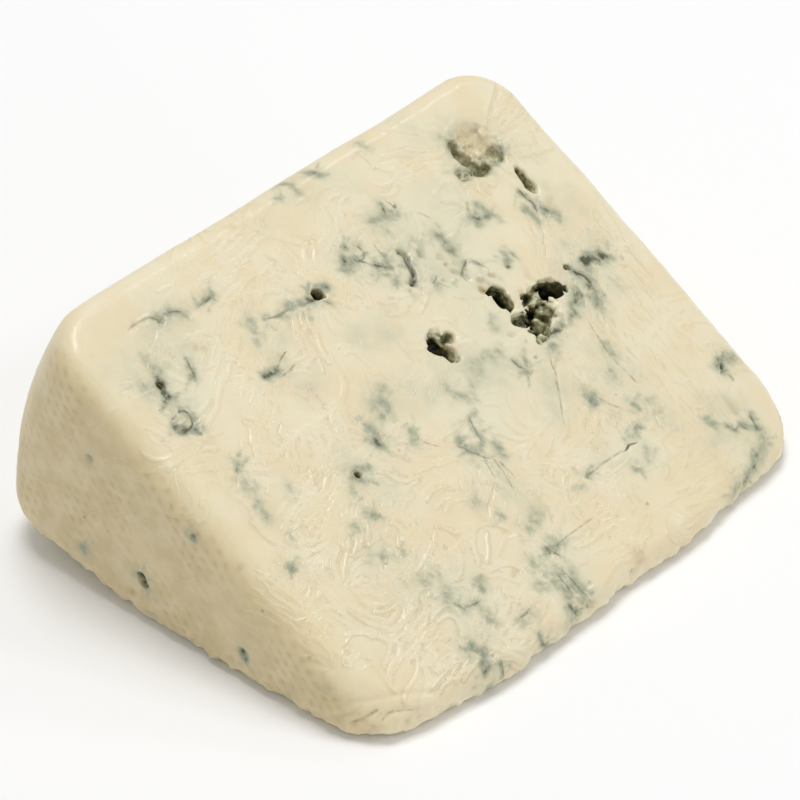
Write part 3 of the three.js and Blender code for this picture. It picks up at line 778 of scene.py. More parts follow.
def wedge_distance(x, y, z):
    """Signed distance of the wedge without its eyes."""
    bowed = x - edge_bow(y) * fade(-x, EDGE_BOW_FADE)
    thin_edge_x = THIN_EDGE_RADIUS - THIN_EDGE_RADIUS / math.tan(CUT_ANGLE / 2)
    flat = np.abs(y) - WHEEL_HEIGHT / 2
    plan = rounded_max(flat, bowed - thin_edge_x - PLAN_CORNER_CLEARANCE, PLAN_CORNER_RADIUS)
    drum = rounded_max(plan, np.hypot(bowed, z) - RIND_RADIUS, RIM_RADIUS)
    near_rind = fade(-bowed, RIND_BLEND)
    top = FLAT_TO_TOP_RADIUS + (RIND_TO_TOP_RADIUS - FLAT_TO_TOP_RADIUS) * near_rind
    bottom = FLAT_TO_BOTTOM_RADIUS + (RIND_TO_BOTTOM_RADIUS - FLAT_TO_BOTTOM_RADIUS) * near_rind
    local_height = np.maximum(-bowed * math.tan(CUT_ANGLE), 2 * THIN_EDGE_RADIUS)
    radius = bottom + (top - bottom) * np.clip(z / local_height, 0, 1)
    return rounded_max(cut_distance(bowed, z), drum, radius) + swell(x, y, z)


def wedge_normals(points):
    """Outward directions of the wedge without its eyes."""
    x, y, z = points.T
    h = SLOPE_STEP
    slope = np.stack(
        [
            wedge_distance(x + h, y, z) - wedge_distance(x - h, y, z),
            wedge_distance(x, y + h, z) - wedge_distance(x, y - h, z),
            wedge_distance(x, y, z + h) - wedge_distance(x, y, z - h),
        ],
        axis=1,
    )
    return slope / (np.linalg.norm(slope, axis=1)[:, None] + 1e-9)


# ---------------------------------------------------------------------- marks placed in the view
LOOK_STEPS = 60
LOOK_STRIDE = 0.6
STROKE_REACH = 3  # how far a stroke is felt, in half widths


def camera_axes():
    """Directions from the wedge to the camera, to the picture's right and to its top."""
    sin, cos = math.sin(CAMERA_AZIMUTH), math.cos(CAMERA_AZIMUTH)
    level, rise = math.cos(CAMERA_ELEVATION), math.sin(CAMERA_ELEVATION)
    away = np.array([sin * level, -cos * level, rise])
    right = np.array([cos, sin, 0.0])
    return away, right, np.cross(away, right)


def shown_at(places):
    """The points of the skin that show at places in the view, or that come nearest to them."""
    away, right, up = camera_axes()
    focal = CAMERA_LENS / SENSOR_WIDTH * PICTURE_SIZE
    camera = CAMERA_TARGET - np.array([WHEEL_AXIS_X, 0, 0]) + CAMERA_DISTANCE * away
    from_middle = (np.array(places, float) - PICTURE_SIZE / 2) / focal
    rays = from_middle[:, :1] * right - from_middle[:, 1:] * up - away
    points = camera + rays * (CAMERA_DISTANCE - RIND_RADIUS)
    nearest = points.copy()
    least = np.full(len(points), np.inf)
    for _ in range(LOOK_STEPS):
        gap = wedge_distance(*points.T)
        closer = np.abs(gap) < least
        nearest[closer] = points[closer]
        least[closer] = np.abs(gap)[closer]
        points = points + rays * LOOK_STRIDE * gap[:, None]
    return nearest.astype(np.float32)


def on_the_skin(marks):
    """Marks that end in a route of places in the view, with those routes put on the wedge's skin."""
    ends = np.cumsum([len(mark[-1]) for mark in marks])
    points = shown_at(np.concatenate([np.array(mark[-1], float) for mark in marks]))
    return [(*mark[:-1], route) for mark, route in zip(marks, np.split(points, ends[:-1]))]


def spots(marks):
    """Marks that end in a single place, as marks with a route."""
    return [(*mark[:-1], [mark[-1], mark[-1]]) for mark in marks]


def closest(points, route):
    """Distance from a route, and 1 or -1 for the side of it that a point lies on in the view."""
    facing = camera_axes()[0]
    nearest = np.full(len(points), np.inf, np.float32)
    side = np.ones(len(points), np.float32)
    for start, end in zip(route[:-1], route[1:]):
        along = end - start
        local = points - start
        share = np.clip(local @ along / (along @ along + 1e-9), 0, 1)
        away = np.linalg.norm(local - share[:, None] * along, axis=1)
        here = away < nearest
        nearest = np.where(here, away, nearest)
        side = np.where(here, np.where(local @ np.cross(along, facing) < 0, -1, 1), side)
    return nearest, side


def nearby(points, route, far):
    """Numbers of the points within a distance of a route's box."""
    low, high = route.min(axis=0) - far, route.max(axis=0) + far
    return np.flatnonzero(((points > low) & (points < high)).all(axis=1))


def stroke_field(points, marks):
    """The strongest at each point of many soft strokes: strength, half width, route."""
    field = np.zeros(len(points), np.float32)
    for strength, half_width, route in on_the_skin(marks):
        near = nearby(points, route, STROKE_REACH * half_width)
        away, _ = closest(points[near], route)
        field[near] = np.maximum(field[near], strength * np.exp(-((away / half_width) ** 2)))
    return field


NO_LINE = 9.0
LINE_FADE = (-1.0, -0.6)


def line_field(points, marks):
    """Nearest of many thin lines: how far, in half widths with a sign, and the line's strength."""
    side = np.full(len(points), NO_LINE, np.float32)
    strength = np.zeros(len(points), np.float32)
    nearest = np.full(len(points), np.inf, np.float32)
    for line_strength, half_width, route in on_the_skin(marks):
        near = nearby(points, route, -LINE_FADE[0])
        away, sign = closest(points[near], route)
        closer = away < nearest[near]
        at = near[closer]
        nearest[at] = away[closer]
        side[at] = (sign * away / half_width)[closer]
        strength[at] = (line_strength * fade(-away, LINE_FADE))[closer]
    return side, strength


def turned(degrees):
    return np.array([math.cos(math.radians(degrees)), math.sin(math.radians(degrees))])


def one_fold(draw, middle, degrees, length, strength, bow):
    """A bowed and slightly wavy fold around a place in the view."""
    shares = np.linspace(-0.5, 0.5, FOLD_STEPS)
    bowed = bow * (0.25 - shares**2)
    height, turn = FOLD_WAVE
    wave = height * draw.normal() * np.sin(shares * turn + draw.uniform(0, math.tau))
    route = np.outer(shares, turned(degrees)) + np.outer(bowed + wave, turned(degrees + 90))
    half_width = draw.uniform(*FOLD_HALF_WIDTH)
    return strength * draw.uniform(*FOLD_SHARE), half_width, np.array(middle) + length * route


def flow_line(draw, start):
    """A fold that follows the slowly turning direction of the loose folds from a place in the view."""
    stride = draw.uniform(*FLOW_LENGTH) / FOLD_STEPS
    route = [start]
    for _ in range(FOLD_STEPS):
        x, y = route[-1]
        degrees = sum(swing * math.sin(x / a + FLOW_BEND * math.sin(y / b)) for a, b, swing in FLOW_WAVES)
        route.append(route[-1] + stride * turned(degrees + draw.normal() * FLOW_JITTER))
    return route


def fold_lines():
    """The fine folds of the skin: strength, half width, route."""
    draw = np.random.default_rng(FOLD_SEED)
    for angles, radii, count, strength, place in FOLD_FANS:
        for number in range(count):
            degrees = angles[0] + (angles[1] - angles[0]) * (number + draw.uniform(0, 1)) / count
            start = radii[0] * draw.uniform(*FAN_START)
            length = (radii[1] - radii[0]) * draw.uniform(*FAN_LENGTH)
            middle = place + (start + length / 2) * turned(degrees)
            yield one_fold(draw, middle, degrees, length, strength, FAN_BOW * draw.normal())
    for angle, lengths, width, count, strength, place in FOLD_BANDS:
        for number in range(count):
            degrees = angle + draw.normal() * BAND_JITTER
            beside = ((number + draw.uniform(0, 1)) / count - 0.5) * width
            forward = draw.uniform(*BAND_SHIFT) * lengths[1]
            middle = place + beside * turned(angle + 90) + forward * turned(degrees)
            length = draw.uniform(*lengths)
            yield one_fold(draw, middle, degrees, length, strength, BAND_BOW * draw.normal())
    for half, count, strength, place in FOLD_FLOWS:
        for _ in range(count):
            start = place + np.array(half) * draw.uniform(-1, 1, 2)
            share = draw.uniform(*FLOW_SHARE)
            half_width = draw.uniform(*FOLD_HALF_WIDTH)
            yield strength * share, half_width, flow_line(draw, start)


def twigs():
    """Short thin twigs that grow out of the stains: strength, half width, route."""
    draw = np.random.default_rng(TWIG_SEED)
    for strength, _, route in STAINS:
        for _ in range(TWIGS):
            start = np.array(route[draw.integers(len(route))], float)
            degrees, length = draw.uniform(0, 360), draw.uniform(*TWIG_LENGTH)
            bend = turned(degrees + draw.normal() * TWIG_BEND)
            end = start + length / 2 * (turned(degrees) + bend)
            middle = start + length / 2 * turned(degrees)
            yield strength * draw.uniform(*TWIG_STRENGTH), TWIG_HALF_WIDTH, [start, middle, end]


# ------------------------------------------------------------------------------------------ the eyes
EYE_ROOM = (1.5, 1.0)  # grid block round an eye, as many half sizes, and millimetres more
EYE_TEAR = (2.4, 3)  # size of the lumps in an eye's outline, octaves
EYE_FINE_TEAR = 0.9
EYE_FINE_SHARE = 0.5
EYE_LEAST = 1.2  # an eye thinner than this is torn as much as one of this half size
EYE_RIM = 0.12
CRUMB_ROOM = (1.6, 0.5)
CRUMB_TEAR = (1.6, 3)
CRUMB_RAGGED = 0.9
CRUMB_RIM = 0.3


def eye_frames():
    """Centre, axes (as rows), half size and raggedness of every eye."""
    for half, turn, sunk, ragged, place in EYES:
        skin = shown_at([place])
        normal = wedge_normals(skin)[0]
        along = ALONG - normal * (ALONG @ normal)
        along = along / np.linalg.norm(along)
        across = np.cross(along, normal)
        cos, sin = turned(turn)
        axes = np.stack([along * cos + across * sin, across * cos - along * sin, normal])
        yield skin[0] - normal * sunk, axes.astype(np.float32), np.array(half, np.float32), ragged


def local_block(centre, size, axes, lines):
    """The slices of the grid around a centre, and the grid's points there."""
    ends = [np.searchsorted(line, (c - size, c + size)) for line, c in zip(lines, axes @ centre)]
    slices = tuple(slice(*end) for end in ends)
    grid = np.meshgrid(*[line[part] for line, part in zip(lines, slices)], indexing="ij")
    return slices, np.stack([axis.ravel() for axis in grid], axis=1).astype(np.float32) @ axes


def cut_eyes(distance, axes, lines):
    """Hollows the eyes out of the distance grid, ragged as torn curd, and leaves crumbs in them."""
    for number, (centre, eye_axes, half, ragged) in enumerate(eye_frames()):
        size = float(half.max()) * EYE_ROOM[0] + EYE_ROOM[1]
        slices, points = local_block(centre, size, axes, lines)
        inside = (points - centre) @ eye_axes.T / half
        thin = float(half.min())
        torn = rough(points, *EYE_TEAR, seed=number + 20)
        torn = torn + EYE_FINE_SHARE * noise(points, EYE_FINE_TEAR, seed=number + 60)
        eye = (np.linalg.norm(inside, axis=1) - 1) * thin + torn * ragged * max(thin, EYE_LEAST)
        block = distance[slices]
        block[...] = rounded_max(block, -eye.reshape(block.shape), EYE_RIM)
    facing = camera_axes()[0]
    for number, (depth, radius, place) in enumerate(CRUMBS):
        centre = shown_at([place])[0] - facing * depth
        slices, points = local_block(centre, radius * CRUMB_ROOM[0] + CRUMB_ROOM[1], axes, lines)
        crumb = np.linalg.norm(points - centre, axis=1) - radius
        crumb = crumb + CRUMB_RAGGED * radius * rough(points, *CRUMB_TEAR, seed=number + 90)
        block = distance[slices]
        block[...] = -rounded_max(-block, -crumb.reshape(block.shape), CRUMB_RIM)


# ------------------------------------------------------------------------- surface through the grid
def draw_surface(distance):
    """Points, in grid steps, and quads of the surface where the distance changes sign."""
    inside = distance < 0
    full = sum(
        inside[i : i - 1 or None, j : j - 1 or None, k : k - 1 or None].astype(np.int8)
        for i, j, k in np.ndindex(2, 2, 2)
    )
    crossed = (full > 0) & (full < 8)
    cells = np.argwhere(crossed)
    number = np.full(crossed.shape, -1, np.int32)
    number[crossed] = np.arange(len(cells))
    places = np.zeros((len(cells), 3))
    hits = np.zeros(len(cells))
    for axis in range(3):
        step_along = np.eye(3, dtype=int)[axis]
        for a, b in np.ndindex(2, 2):
            start = cells + np.roll([0, a, b], axis)
            d0 = distance[tuple(start.T)]
            d1 = distance[tuple((start + step_along).T)]
            cut = (d0 < 0) != (d1 < 0)
            share = d0[cut] / (d0[cut] - d1[cut])
            places[cut] += start[cut] + share[:, None] * step_along
            hits[cut] += 1
    quads = []
    for axis in range(3):
        u, v = np.roll(np.eye(3, dtype=int), -axis - 1, axis=0)[:2]
        low = np.take(inside, range(inside.shape[axis] - 1), axis)
        high = np.take(inside, range(1, inside.shape[axis]), axis)
        at = np.argwhere(low != high)
        outward = low[tuple(at.T)]
        ring = [number[tuple((at + shift).T)] for shift in (-u - v, -v, 0 * u, -u)]
        quad = np.stack(ring, axis=1)
        quads.append(np.where(outward[:, None], quad, quad[:, ::-1]))
    return places / hits[:, None], np.concatenate(quads)


def wedge_surface():
    """The wedge with its eyes, before any fine relief, drawn on a grid that lies along the top face."""
    axes = np.stack([ACROSS, ALONG, NORMAL])
    low = np.array([-WHEEL_HEIGHT / 2, 0, -RIND_RADIUS * math.sin(CUT_ANGLE)]) - GRID_MARGIN
    high = np.array([WHEEL_HEIGHT / 2, RIND_RADIUS, EDGE_BOW]) + GRID_MARGIN
    lines = [np.arange(a, b, GRID_STEP, dtype=np.float32) for a, b in zip(low, high)]
    across, reach, over = np.ix_(*lines)
    x = reach * ALONG[0] + over * NORMAL[0]
    z = reach * ALONG[2] + over * NORMAL[2]
    distance = wedge_distance(x, across, z).astype(np.float32)
    cut_eyes(distance, axes, lines)
    places, quads = draw_surface(distance)
    return ((low + GRID_STEP * places) @ axes).astype(np.float32), quads


# -------------------------------------------------------------------------------------- fine relief
def mat_dimples(level, height):
    """Dimples that the draining mat left, in staggered rows."""
    place = np.stack([level, height, np.zeros_like(level)], axis=1).astype(np.float32)
    wander, length = MAT_WOBBLE
    level = level + wander * noise(place, length, seed=51)
    height = height + wander * noise(place, length, seed=52)
    cos, sin = math.cos(MAT_TURN), math.sin(MAT_TURN)
    along = (level * cos + height * sin) / MAT_PITCH[0]
    beside = (height * cos - level * sin) / MAT_PITCH[1]
    row = np.floor(beside)
    along = along + 0.5 * (row % 2)
    in_along = along - np.floor(along) - 0.5
    in_beside = beside - row - 0.5
    dimple = np.exp(-((in_along / MAT_HALF[0]) ** 2) - (in_beside / MAT_HALF[1]) ** 2)
    pressed = fade(noise(place, MAT_PATCH, seed=53), (-0.5, 0.5))
    return dimple * (MAT_LEAST + (1 - MAT_LEAST) * pressed)


CURD_HEIGHT = 0.20
CURD_LUMP = 2.3
CURD_FINE_LUMP = 1.1
CURD_FINE_SHARE = 0.6
CRUMBLY_PATCH = 6
CRUMBLY_FADE = (-0.3, 0.5)


def curd_lumps(points):
    """Crumbly curd: round lumps with narrow gaps."""
    coarse = np.abs(noise(points, CURD_LUMP, seed=61))
    fine = np.abs(noise(points, CURD_FINE_LUMP, seed=62))
    return 1 - 2 * coarse - CURD_FINE_SHARE * fine


def crumbly(points):
    """How crumbly the curd is, 0 to 1."""
    return stroke_field(points, CRUMBLY) * fade(noise(points, CRUMBLY_PATCH, seed=35), CRUMBLY_FADE)


# Roughness of the skin: height, size of the lumps, octaves, seed.
CREASES = (0.05, 1.6, 2, 33)
FINE_ROUGH = (0.04, 1.5, 2, 39)
FLAT_ROUGH = (0.12, 4, 3, 41)
LOW_EDGE_ROUGH = (0.90, 2.8, 4, 38)
HOLLOW_ROUGH = (0.25, 1.0, 2, 40)
LUMP_ROUGH = (0.40, 1.5, 2, 37)
CREASE_WANDER = (3, 9)  # how far the creases wander, and over what length
CREASE_STRETCH = (0.25, 1.0, 0.25)
CRACK_WANDER = (0.25, 1.5)

ON_SKIN = (-0.6, -0.1)  # distance to the wedge's skin between which the relief comes in
IN_HOLLOW = (0.3, 0.8)
TOP_FACING = (0.45, 0.85)  # share of the normal along the top face's
FLAT_FACING = (0.55, 0.9)
LOW_EDGE_FADE = (-9, -1)
FOOT_FADE = (0.1, 1.2)  # the resting face stays flat


def layer(points, roughness):
    height, size, octaves, seed = roughness
    return height * rough(points, size, octaves, seed)


def relief(points, normals, skin):
    """Fine relief along the normal, in millimetres."""
    on_skin = fade(skin, ON_SKIN)
    top = fade(normals @ NORMAL, TOP_FACING) * on_skin
    flat = fade(np.abs(normals[:, 1]), FLAT_FACING) * on_skin

    wander, length = CREASE_WANDER
    flow = points + wander * noise(points, length, seed=31)[:, None]
    height = top * layer(flow * np.array(CREASE_STRETCH, np.float32), CREASES)
    side, strength = line_field(points, FOLDS)
    height += on_skin * FOLD_HEIGHT * strength * np.exp(-(side**2) / 2)
    height += CURD_HEIGHT * top * crumbly(points) * (curd_lumps(points) - 0.5)

    wander, length = CRACK_WANDER
    bent = points + wander * noise(points, length, seed=36)[:, None]
    height -= on_skin * stroke_field(bent, CRACKS)
    height -= stroke_field(bent, spots(PRICKS))
    height += on_skin * stroke_field(bent, spots(LUMPS)) * (1 + layer(points, LUMP_ROUGH))

    height -= flat * MAT_DEPTH * mat_dimples(-points[:, 0], points[:, 2])
    height += flat * layer(points, FLAT_ROUGH)
    height += fade(-points[:, 2], LOW_EDGE_FADE) * (1 - top) * layer(points, LOW_EDGE_ROUGH)
    height += on_skin * layer(points, FINE_ROUGH)
    height += fade(-skin, IN_HOLLOW) * layer(points, HOLLOW_ROUGH)
    return height * fade(points[:, 2], FOOT_FADE)


def mesh_normals(points, quads):
    corners = points[quads]
    face = np.cross(corners[:, 2] - corners[:, 0], corners[:, 3] - corners[:, 1])
    total = np.stack(
        [
            np.bincount(quads.ravel(), np.repeat(face[:, axis], 4), minlength=len(points))
            for axis in range(3)
        ],
        axis=1,
    )
    return total / (np.linalg.norm(total, axis=1)[:, None] + 1e-12)


# --------------------------------------------------------------------------------------- the cheese
def to_object(name, points, faces):
    mesh = bpy.data.meshes.new(name)
    mesh.vertices.add(len(points))
    mesh.vertices.foreach_set("co", points.astype(np.float32).ravel())
    sides = faces.shape[1]
    mesh.loops.add(faces.size)
    mesh.loops.foreach_set("vertex_index", faces.astype(np.int32).ravel())
    mesh.polygons.add(len(faces))
    mesh.polygons.foreach_set("loop_start", np.arange(0, faces.size, sides, dtype=np.int32))
    mesh.update(calc_edges=True)
    thing = bpy.data.objects.new(name, mesh)
    bpy.context.scene.collection.objects.link(thing)
    return thing


def thin_out(thing, hidden, most):
    """Merges triangles, on the hidden faces before the others, down to the given number."""
    triangles = sum(len(face.vertices) - 2 for face in thing.data.polygons)
    group = thing.vertex_groups.new(name="spare")
    group.add(np.flatnonzero(hidden).tolist(), 1.0, "REPLACE")
    group.add(np.flatnonzero(~hidden).tolist(), SHOWN_WEIGHT, "REPLACE")
    modifier = thing.modifiers.new("thin_out", "DECIMATE")
    modifier.ratio = min(1.0, most / triangles)
    modifier.vertex_group = group.name
    modifier.vertex_group_factor = HIDDEN_FACTOR
    graph = bpy.context.evaluated_depsgraph_get()
    lighter = bpy.data.meshes.new_from_object(thing.evaluated_get(graph))
    thing.modifiers.clear()
    thing.vertex_groups.clear()
    thing.data = lighter


def keep_in_box(mesh):
    """Moves points that lie past the CAD model's box back onto it."""
    points = np.empty(len(mesh.vertices) * 3, np.float32)
    mesh.vertices.foreach_get("co", points)
    points = np.clip(points.reshape(-1, 3), np.array(cad_box[0]), np.array(cad_box[1]))
    mesh.vertices.foreach_set("co", points.astype(np.float32).ravel())
    mesh.update()


BEND = 0.8  # how far the marks' outlines wander
BEND_LUMP = (2.4, 3)  # size of the wanderings, octaves
THREAD_BEND, STAIN_BEND, HALO_BEND, PATCH_BEND = 0.2, 0.7, 1.5, 2  # as many times as far
FLAT_COLOURED = (0.55, 0.95)
MOIST_FACING = (0.80, 0.97)
SHOWN_FACING = (0.0, 0.25)
# The next values set where the painted shade in the gaps between curd lumps comes in.
GAP_SHADE_FADE = (-0.15, 0.25)
HOLLOW_FROM = 0.45
HOLLOW_MOST = 6


def mark_fields(points, normals, skin):
    """What the material needs to know at each point: points on the skin, their depth behind it."""
    flat = fade(np.abs(normals[:, 1]), FLAT_COLOURED)
    bend = BEND * np.stack([rough(points, *BEND_LUMP, seed=seed) for seed in (71, 72, 73)], axis=1)
    halos = [(strength, HALO_WIDTH * half_width, route) for strength, half_width, route in STAINS]
    thread_side, thread = line_field(points + THREAD_BEND * bend, THREADS + spots(DOTS))
    fold_side, fold = line_field(points, FOLDS)
    return {
        "stain": stroke_field(points + STAIN_BEND * bend, STAINS + list(twigs())),
        "halo": stroke_field(points + HALO_BEND * bend, halos),
        "cloud": stroke_field(points + PATCH_BEND * bend, CLOUDS),
        "tan": stroke_field(points + bend, spots(TAN_PATCHES)),
        "white": stroke_field(points + PATCH_BEND * bend, spots(WHITE_PATCHES)),
        "yellow": stroke_field(points + PATCH_BEND * bend, YELLOW_PATCHES),
        "thread": thread,
        "thread_side": thread_side,
        "fold": fold,
        "fold_side": fold_side,
        "hollow": np.clip(-skin - HOLLOW_FROM, 0, HOLLOW_MOST),
        "flat": flat,
        # Darker tan in the mat's dimples, partly painted shade.
        "dimple": flat * mat_dimples(-points[:, 0], points[:, 2]),
        "hidden": 1 - fade(normals @ camera_axes()[0], SHOWN_FACING),
        "moist": fade(normals @ NORMAL, MOIST_FACING),
        # Where the painted shade in the narrow gaps between crumbly curd lumps goes.
        "gap": crumbly(points) * fade(-curd_lumps(points), GAP_SHADE_FADE),
    }


def paint(mesh):
    """Stores the marks on the mesh for the material."""
    points = np.empty(len(mesh.vertices) * 3, np.float32)
    mesh.vertices.foreach_get("co", points)
    points = points.reshape(-1, 3) / MM - np.array([WHEEL_AXIS_X, 0, 0], np.float32)
    normals = wedge_normals(points)
    skin = wedge_distance(*points.T)
    points = (points - normals * skin[:, None]).astype(np.float32)
    for name, values in mark_fields(points, normals, skin).items():
        attribute = mesh.attributes.new(name, "FLOAT", "POINT")
        attribute.data.foreach_set("value", values.astype(np.float32).ravel())


def cheese_wedge():
    points, quads = wedge_surface()
    normals = wedge_normals(points)
    height = relief(points, normals, wedge_distance(*points.T))
    points = points + mesh_normals(points, quads) * height[:, None]
    placed = (points + np.array([WHEEL_AXIS_X, 0, 0])) * MM
    thing = to_object("blue_cheese_wedge", placed, quads)
    thin_out(thing, normals @ camera_axes()[0] < 0, MOST_TRIANGLES)
    keep_in_box(thing.data)
    thing.data.polygons.foreach_set("use_smooth", np.ones(len(thing.data.polygons), bool))
    paint(thing.data)
    return thing


# ---------------------------------------------------------------------------------------- materials
def seen(red, green, blue):
    """A colour as it is seen, 0 to 255, as the linear colour with alpha that a shader takes."""
    return (*Color((red / 255, green / 255, blue / 255)).from_srgb_to_scene_linear(), 1.0)


CREAM = seen(233, 223, 193)
CREAM_WARM = seen(231, 217, 183)
CREAM_WHITE = seen(230, 223, 195)
CREAM_YELLOW = seen(228, 210, 164)
# Painted shade along one side of each fold.
PAINTED_FOLD_SHADE = seen(214, 196, 154)
FLAT_CREAM = seen(226, 210, 172)
FLAT_SMUDGE = seen(216, 199, 157)
# Darker tan in the mat's dimples: their own tone, with painted shade in them.
DIMPLE_TAN_AND_SHADE = seen(200, 178, 130)
TAN = seen(208, 193, 155)
# Painted shade in the gaps between crumbly curd lumps.
GAP_PAINTED_SHADE = seen(168, 152, 112)
# Mould in the thin dark lines and dots, with painted shade where they lie in the cracks and pricks.
MOULD_AND_CRACK_SHADE = seen(70, 67, 44)
CLOUD = seen(204, 202, 174)
STAIN_COLOURS = [
    (0.0, seen(194, 192, 164)),
    (0.35, seen(184, 184, 157)),
    (0.6, seen(166, 167, 142)),
    (0.8, seen(132, 134, 109)),
    (1.0, seen(80, 82, 60)),
]
# Olive mould in the eyes, darkening to near black with depth as painted shade.
HOLLOW_MOULD_AND_SHADE_COLOURS = [
    (0.0, seen(212, 207, 180)),
    (0.12, seen(160, 157, 118)),
    (0.35, seen(106, 105, 68)),
    (0.6, seen(56, 55, 33)),
    (0.85, seen(15, 15, 10)),
]


# Mottling: size of the lumps in millimetres, detail, and the noise's values that give 0 and 1.
WARM_MOTTLE = (7.0, 6, 0.38, 0.64)
SMUDGE_MOTTLE = (4.0, 5, 0.35, 0.65)
CLOUD_MOTTLE = (4.0, 5, 0.30, 0.70)
TEAR_MOTTLE = (1.2, 5, 0.30, 0.70)
HALO_MOTTLE = (2.2, 5, 0.35, 0.70)
HIDDEN_MOTTLE = (7.0, 5, 0.58, 0.80)
HOLLOW_MOTTLE = (0.9, 5, 0.35, 0.65)
THREAD_MOTTLE = (1.3, 4, 0.35, 0.60)
WHITE_GRAIN = (3.0, 4)
SKIN_GRAIN = (0.8, 4)
EDGE_GRAIN = 0.7

# What the mottling leaves everywhere, and how much each colour shows at most.
TEAR_LEAST, HALO_LEAST, CLOUD_LEAST, THREAD_LEAST = 0.4, 0.35, 0.3, 0.3
# The share of the halo taken out along the folds paints a highlight on their ridges.
TEAR_SHARE, HALO_SHARE, HALO_FOLD_HIGHLIGHT = 0.7, 0.36, 0.4
YELLOW_SHARE, DIMPLE_SHARE, GAP_SHADE_SHARE = 0.5, 0.6, 0.6
WHITE_GRAIN_SHARE, SKIN_GRAIN_SHARE = 0.5, 0.25
SHADE_SHARE, THREAD_SHARE = 0.55, 0.75

# Values between which a colour comes in, and distances from a line, in its half widths.
WHITE_FADE = (0.3, 1.1)
STAIN_FADE = (-0.05, 0.5)
HOLLOW_FADE = (0.05, 0.5)
LINE_EDGE = (2.4, 0.6)
SHADE_START = (0.9, 2.0)
SHADE_END = (4.2, 2.4)
EDGE_WANDER = 1.2

# The hollows darken with depth as painted shade, down to this depth.
HOLLOW_DARKEST_SHADE_DEPTH = 4.6  # depth at which a hollow is darkest
HOLLOW_GRAIN = 1.4
BUMP_HEIGHT = 0.12
DULL_STAIN = (0.1, 0.6)
DRY_ROUGHNESS, MOIST_SMOOTHING, DULL_ROUGHENING = 0.64, 0.22, 0.15
MOIST_COAT, LEAST_COAT = 0.35, 0.06


def add_node(tree, kind, inputs=None, **settings):
    """A shader node; inputs are values, or sockets that get linked."""
    node = tree.nodes.new(kind)
    for name, value in settings.items():
        setattr(node, name, value)
    for name, value in (inputs or {}).items():
        if isinstance(value, bpy.types.NodeSocket):
            tree.links.new(value, node.inputs[name])
        else:
            node.inputs[name].default_value = value
    return node


def stored(tree, name):
    return add_node(tree, "ShaderNodeAttribute", attribute_name=name).outputs["Fac"]


def maths(tree, operation, a, b=0.0, clamp=False):
    node = add_node(tree, "ShaderNodeMath", {0: a, 1: b}, operation=operation, use_clamp=clamp)
    return node.outputs[0]


def times(tree, a, b, clamp=False):
    return maths(tree, "MULTIPLY", a, b, clamp)


def plus(tree, a, b):
    return maths(tree, "ADD", a, b)


def blended(tree, share, a, b):
    return add_node(tree, "ShaderNodeMix", {"Factor": share, 6: a, 7: b}, data_type="RGBA").outputs[2]


def limited(tree, value, low, high):
    """0 at the low value, 1 at the high one, smooth between."""
    inputs = {"Value": value, "From Min": low, "From Max": high}
    return add_node(tree, "ShaderNodeMapRange", inputs, interpolation_type="SMOOTHSTEP").outputs[0]


def speckle(tree, size, detail=3.0):
    """Noise with lumps of a size in millimetres."""
    place = add_node(tree, "ShaderNodeTexCoord").outputs["Object"]
    inputs = {"Vector": place, "Scale": 1 / (size * MM), "Detail": detail}
    return add_node(tree, "ShaderNodeTexNoise", inputs).outputs["Fac"]


def mottled(tree, size, detail, low, high):
    """Patches of 1 on 0, the lumps of a noise between a low and a high value."""
    return limited(tree, speckle(tree, size, detail), low, high)


def colour_steps(tree, value, steps):
    """A colour ramp through (place, colour) steps."""
    ramp = add_node(tree, "ShaderNodeValToRGB", {"Fac": value})
    elements = ramp.color_ramp.elements
    while len(elements) < len(steps):
        elements.new(0.5)
    for element, (place, colour) in zip(elements, steps):
        element.position = place
        element.color = colour
    return ramp.outputs["Color"]


def line_share(tree, name):
    """1 along the thin lines stored under a name, 0 beside them, with unsteady edges."""
    side = maths(tree, "ABSOLUTE", stored(tree, name + "_side"))
    side = plus(tree, side, times(tree, speckle(tree, EDGE_GRAIN), EDGE_WANDER))
    return times(tree, limited(tree, side, *LINE_EDGE), stored(tree, name))


def blue_amount(tree):
    """How blue the curd is: torn stains, and a mottled halo around them, paler along the folds as a
    painted highlight on their ridges.
    """
    torn = plus(tree, times(tree, mottled(tree, *TEAR_MOTTLE), TEAR_SHARE), TEAR_LEAST)
    stain = times(tree, stored(tree, "stain"), torn)
    patchy = plus(tree, mottled(tree, *HALO_MOTTLE), HALO_LEAST)
    # The halo is paler along the folds: a painted highlight on their ridges.
    halo_with_fold_highlight = maths(tree, "SUBTRACT", patchy, times(tree, line_share(tree, "fold"), HALO_FOLD_HIGHLIGHT))
    halo = times(tree, stored(tree, "halo"), times(tree, halo_with_fold_highlight, HALO_SHARE))
    hidden = times(tree, mottled(tree, *HIDDEN_MOTTLE), stored(tree, "hidden"))
    return maths(tree, "MAXIMUM", plus(tree, stain, halo), hidden)


def painted_fold_shade(tree):
    """Painted shade: the faint dark line along one side of each fold."""
    wander = times(tree, speckle(tree, EDGE_GRAIN), EDGE_WANDER)
    side = plus(tree, stored(tree, "fold_side"), wander)
    beside = times(tree, limited(tree, side, *SHADE_START), limited(tree, side, *SHADE_END))
    return times(tree, times(tree, beside, stored(tree, "fold")), SHADE_SHARE)


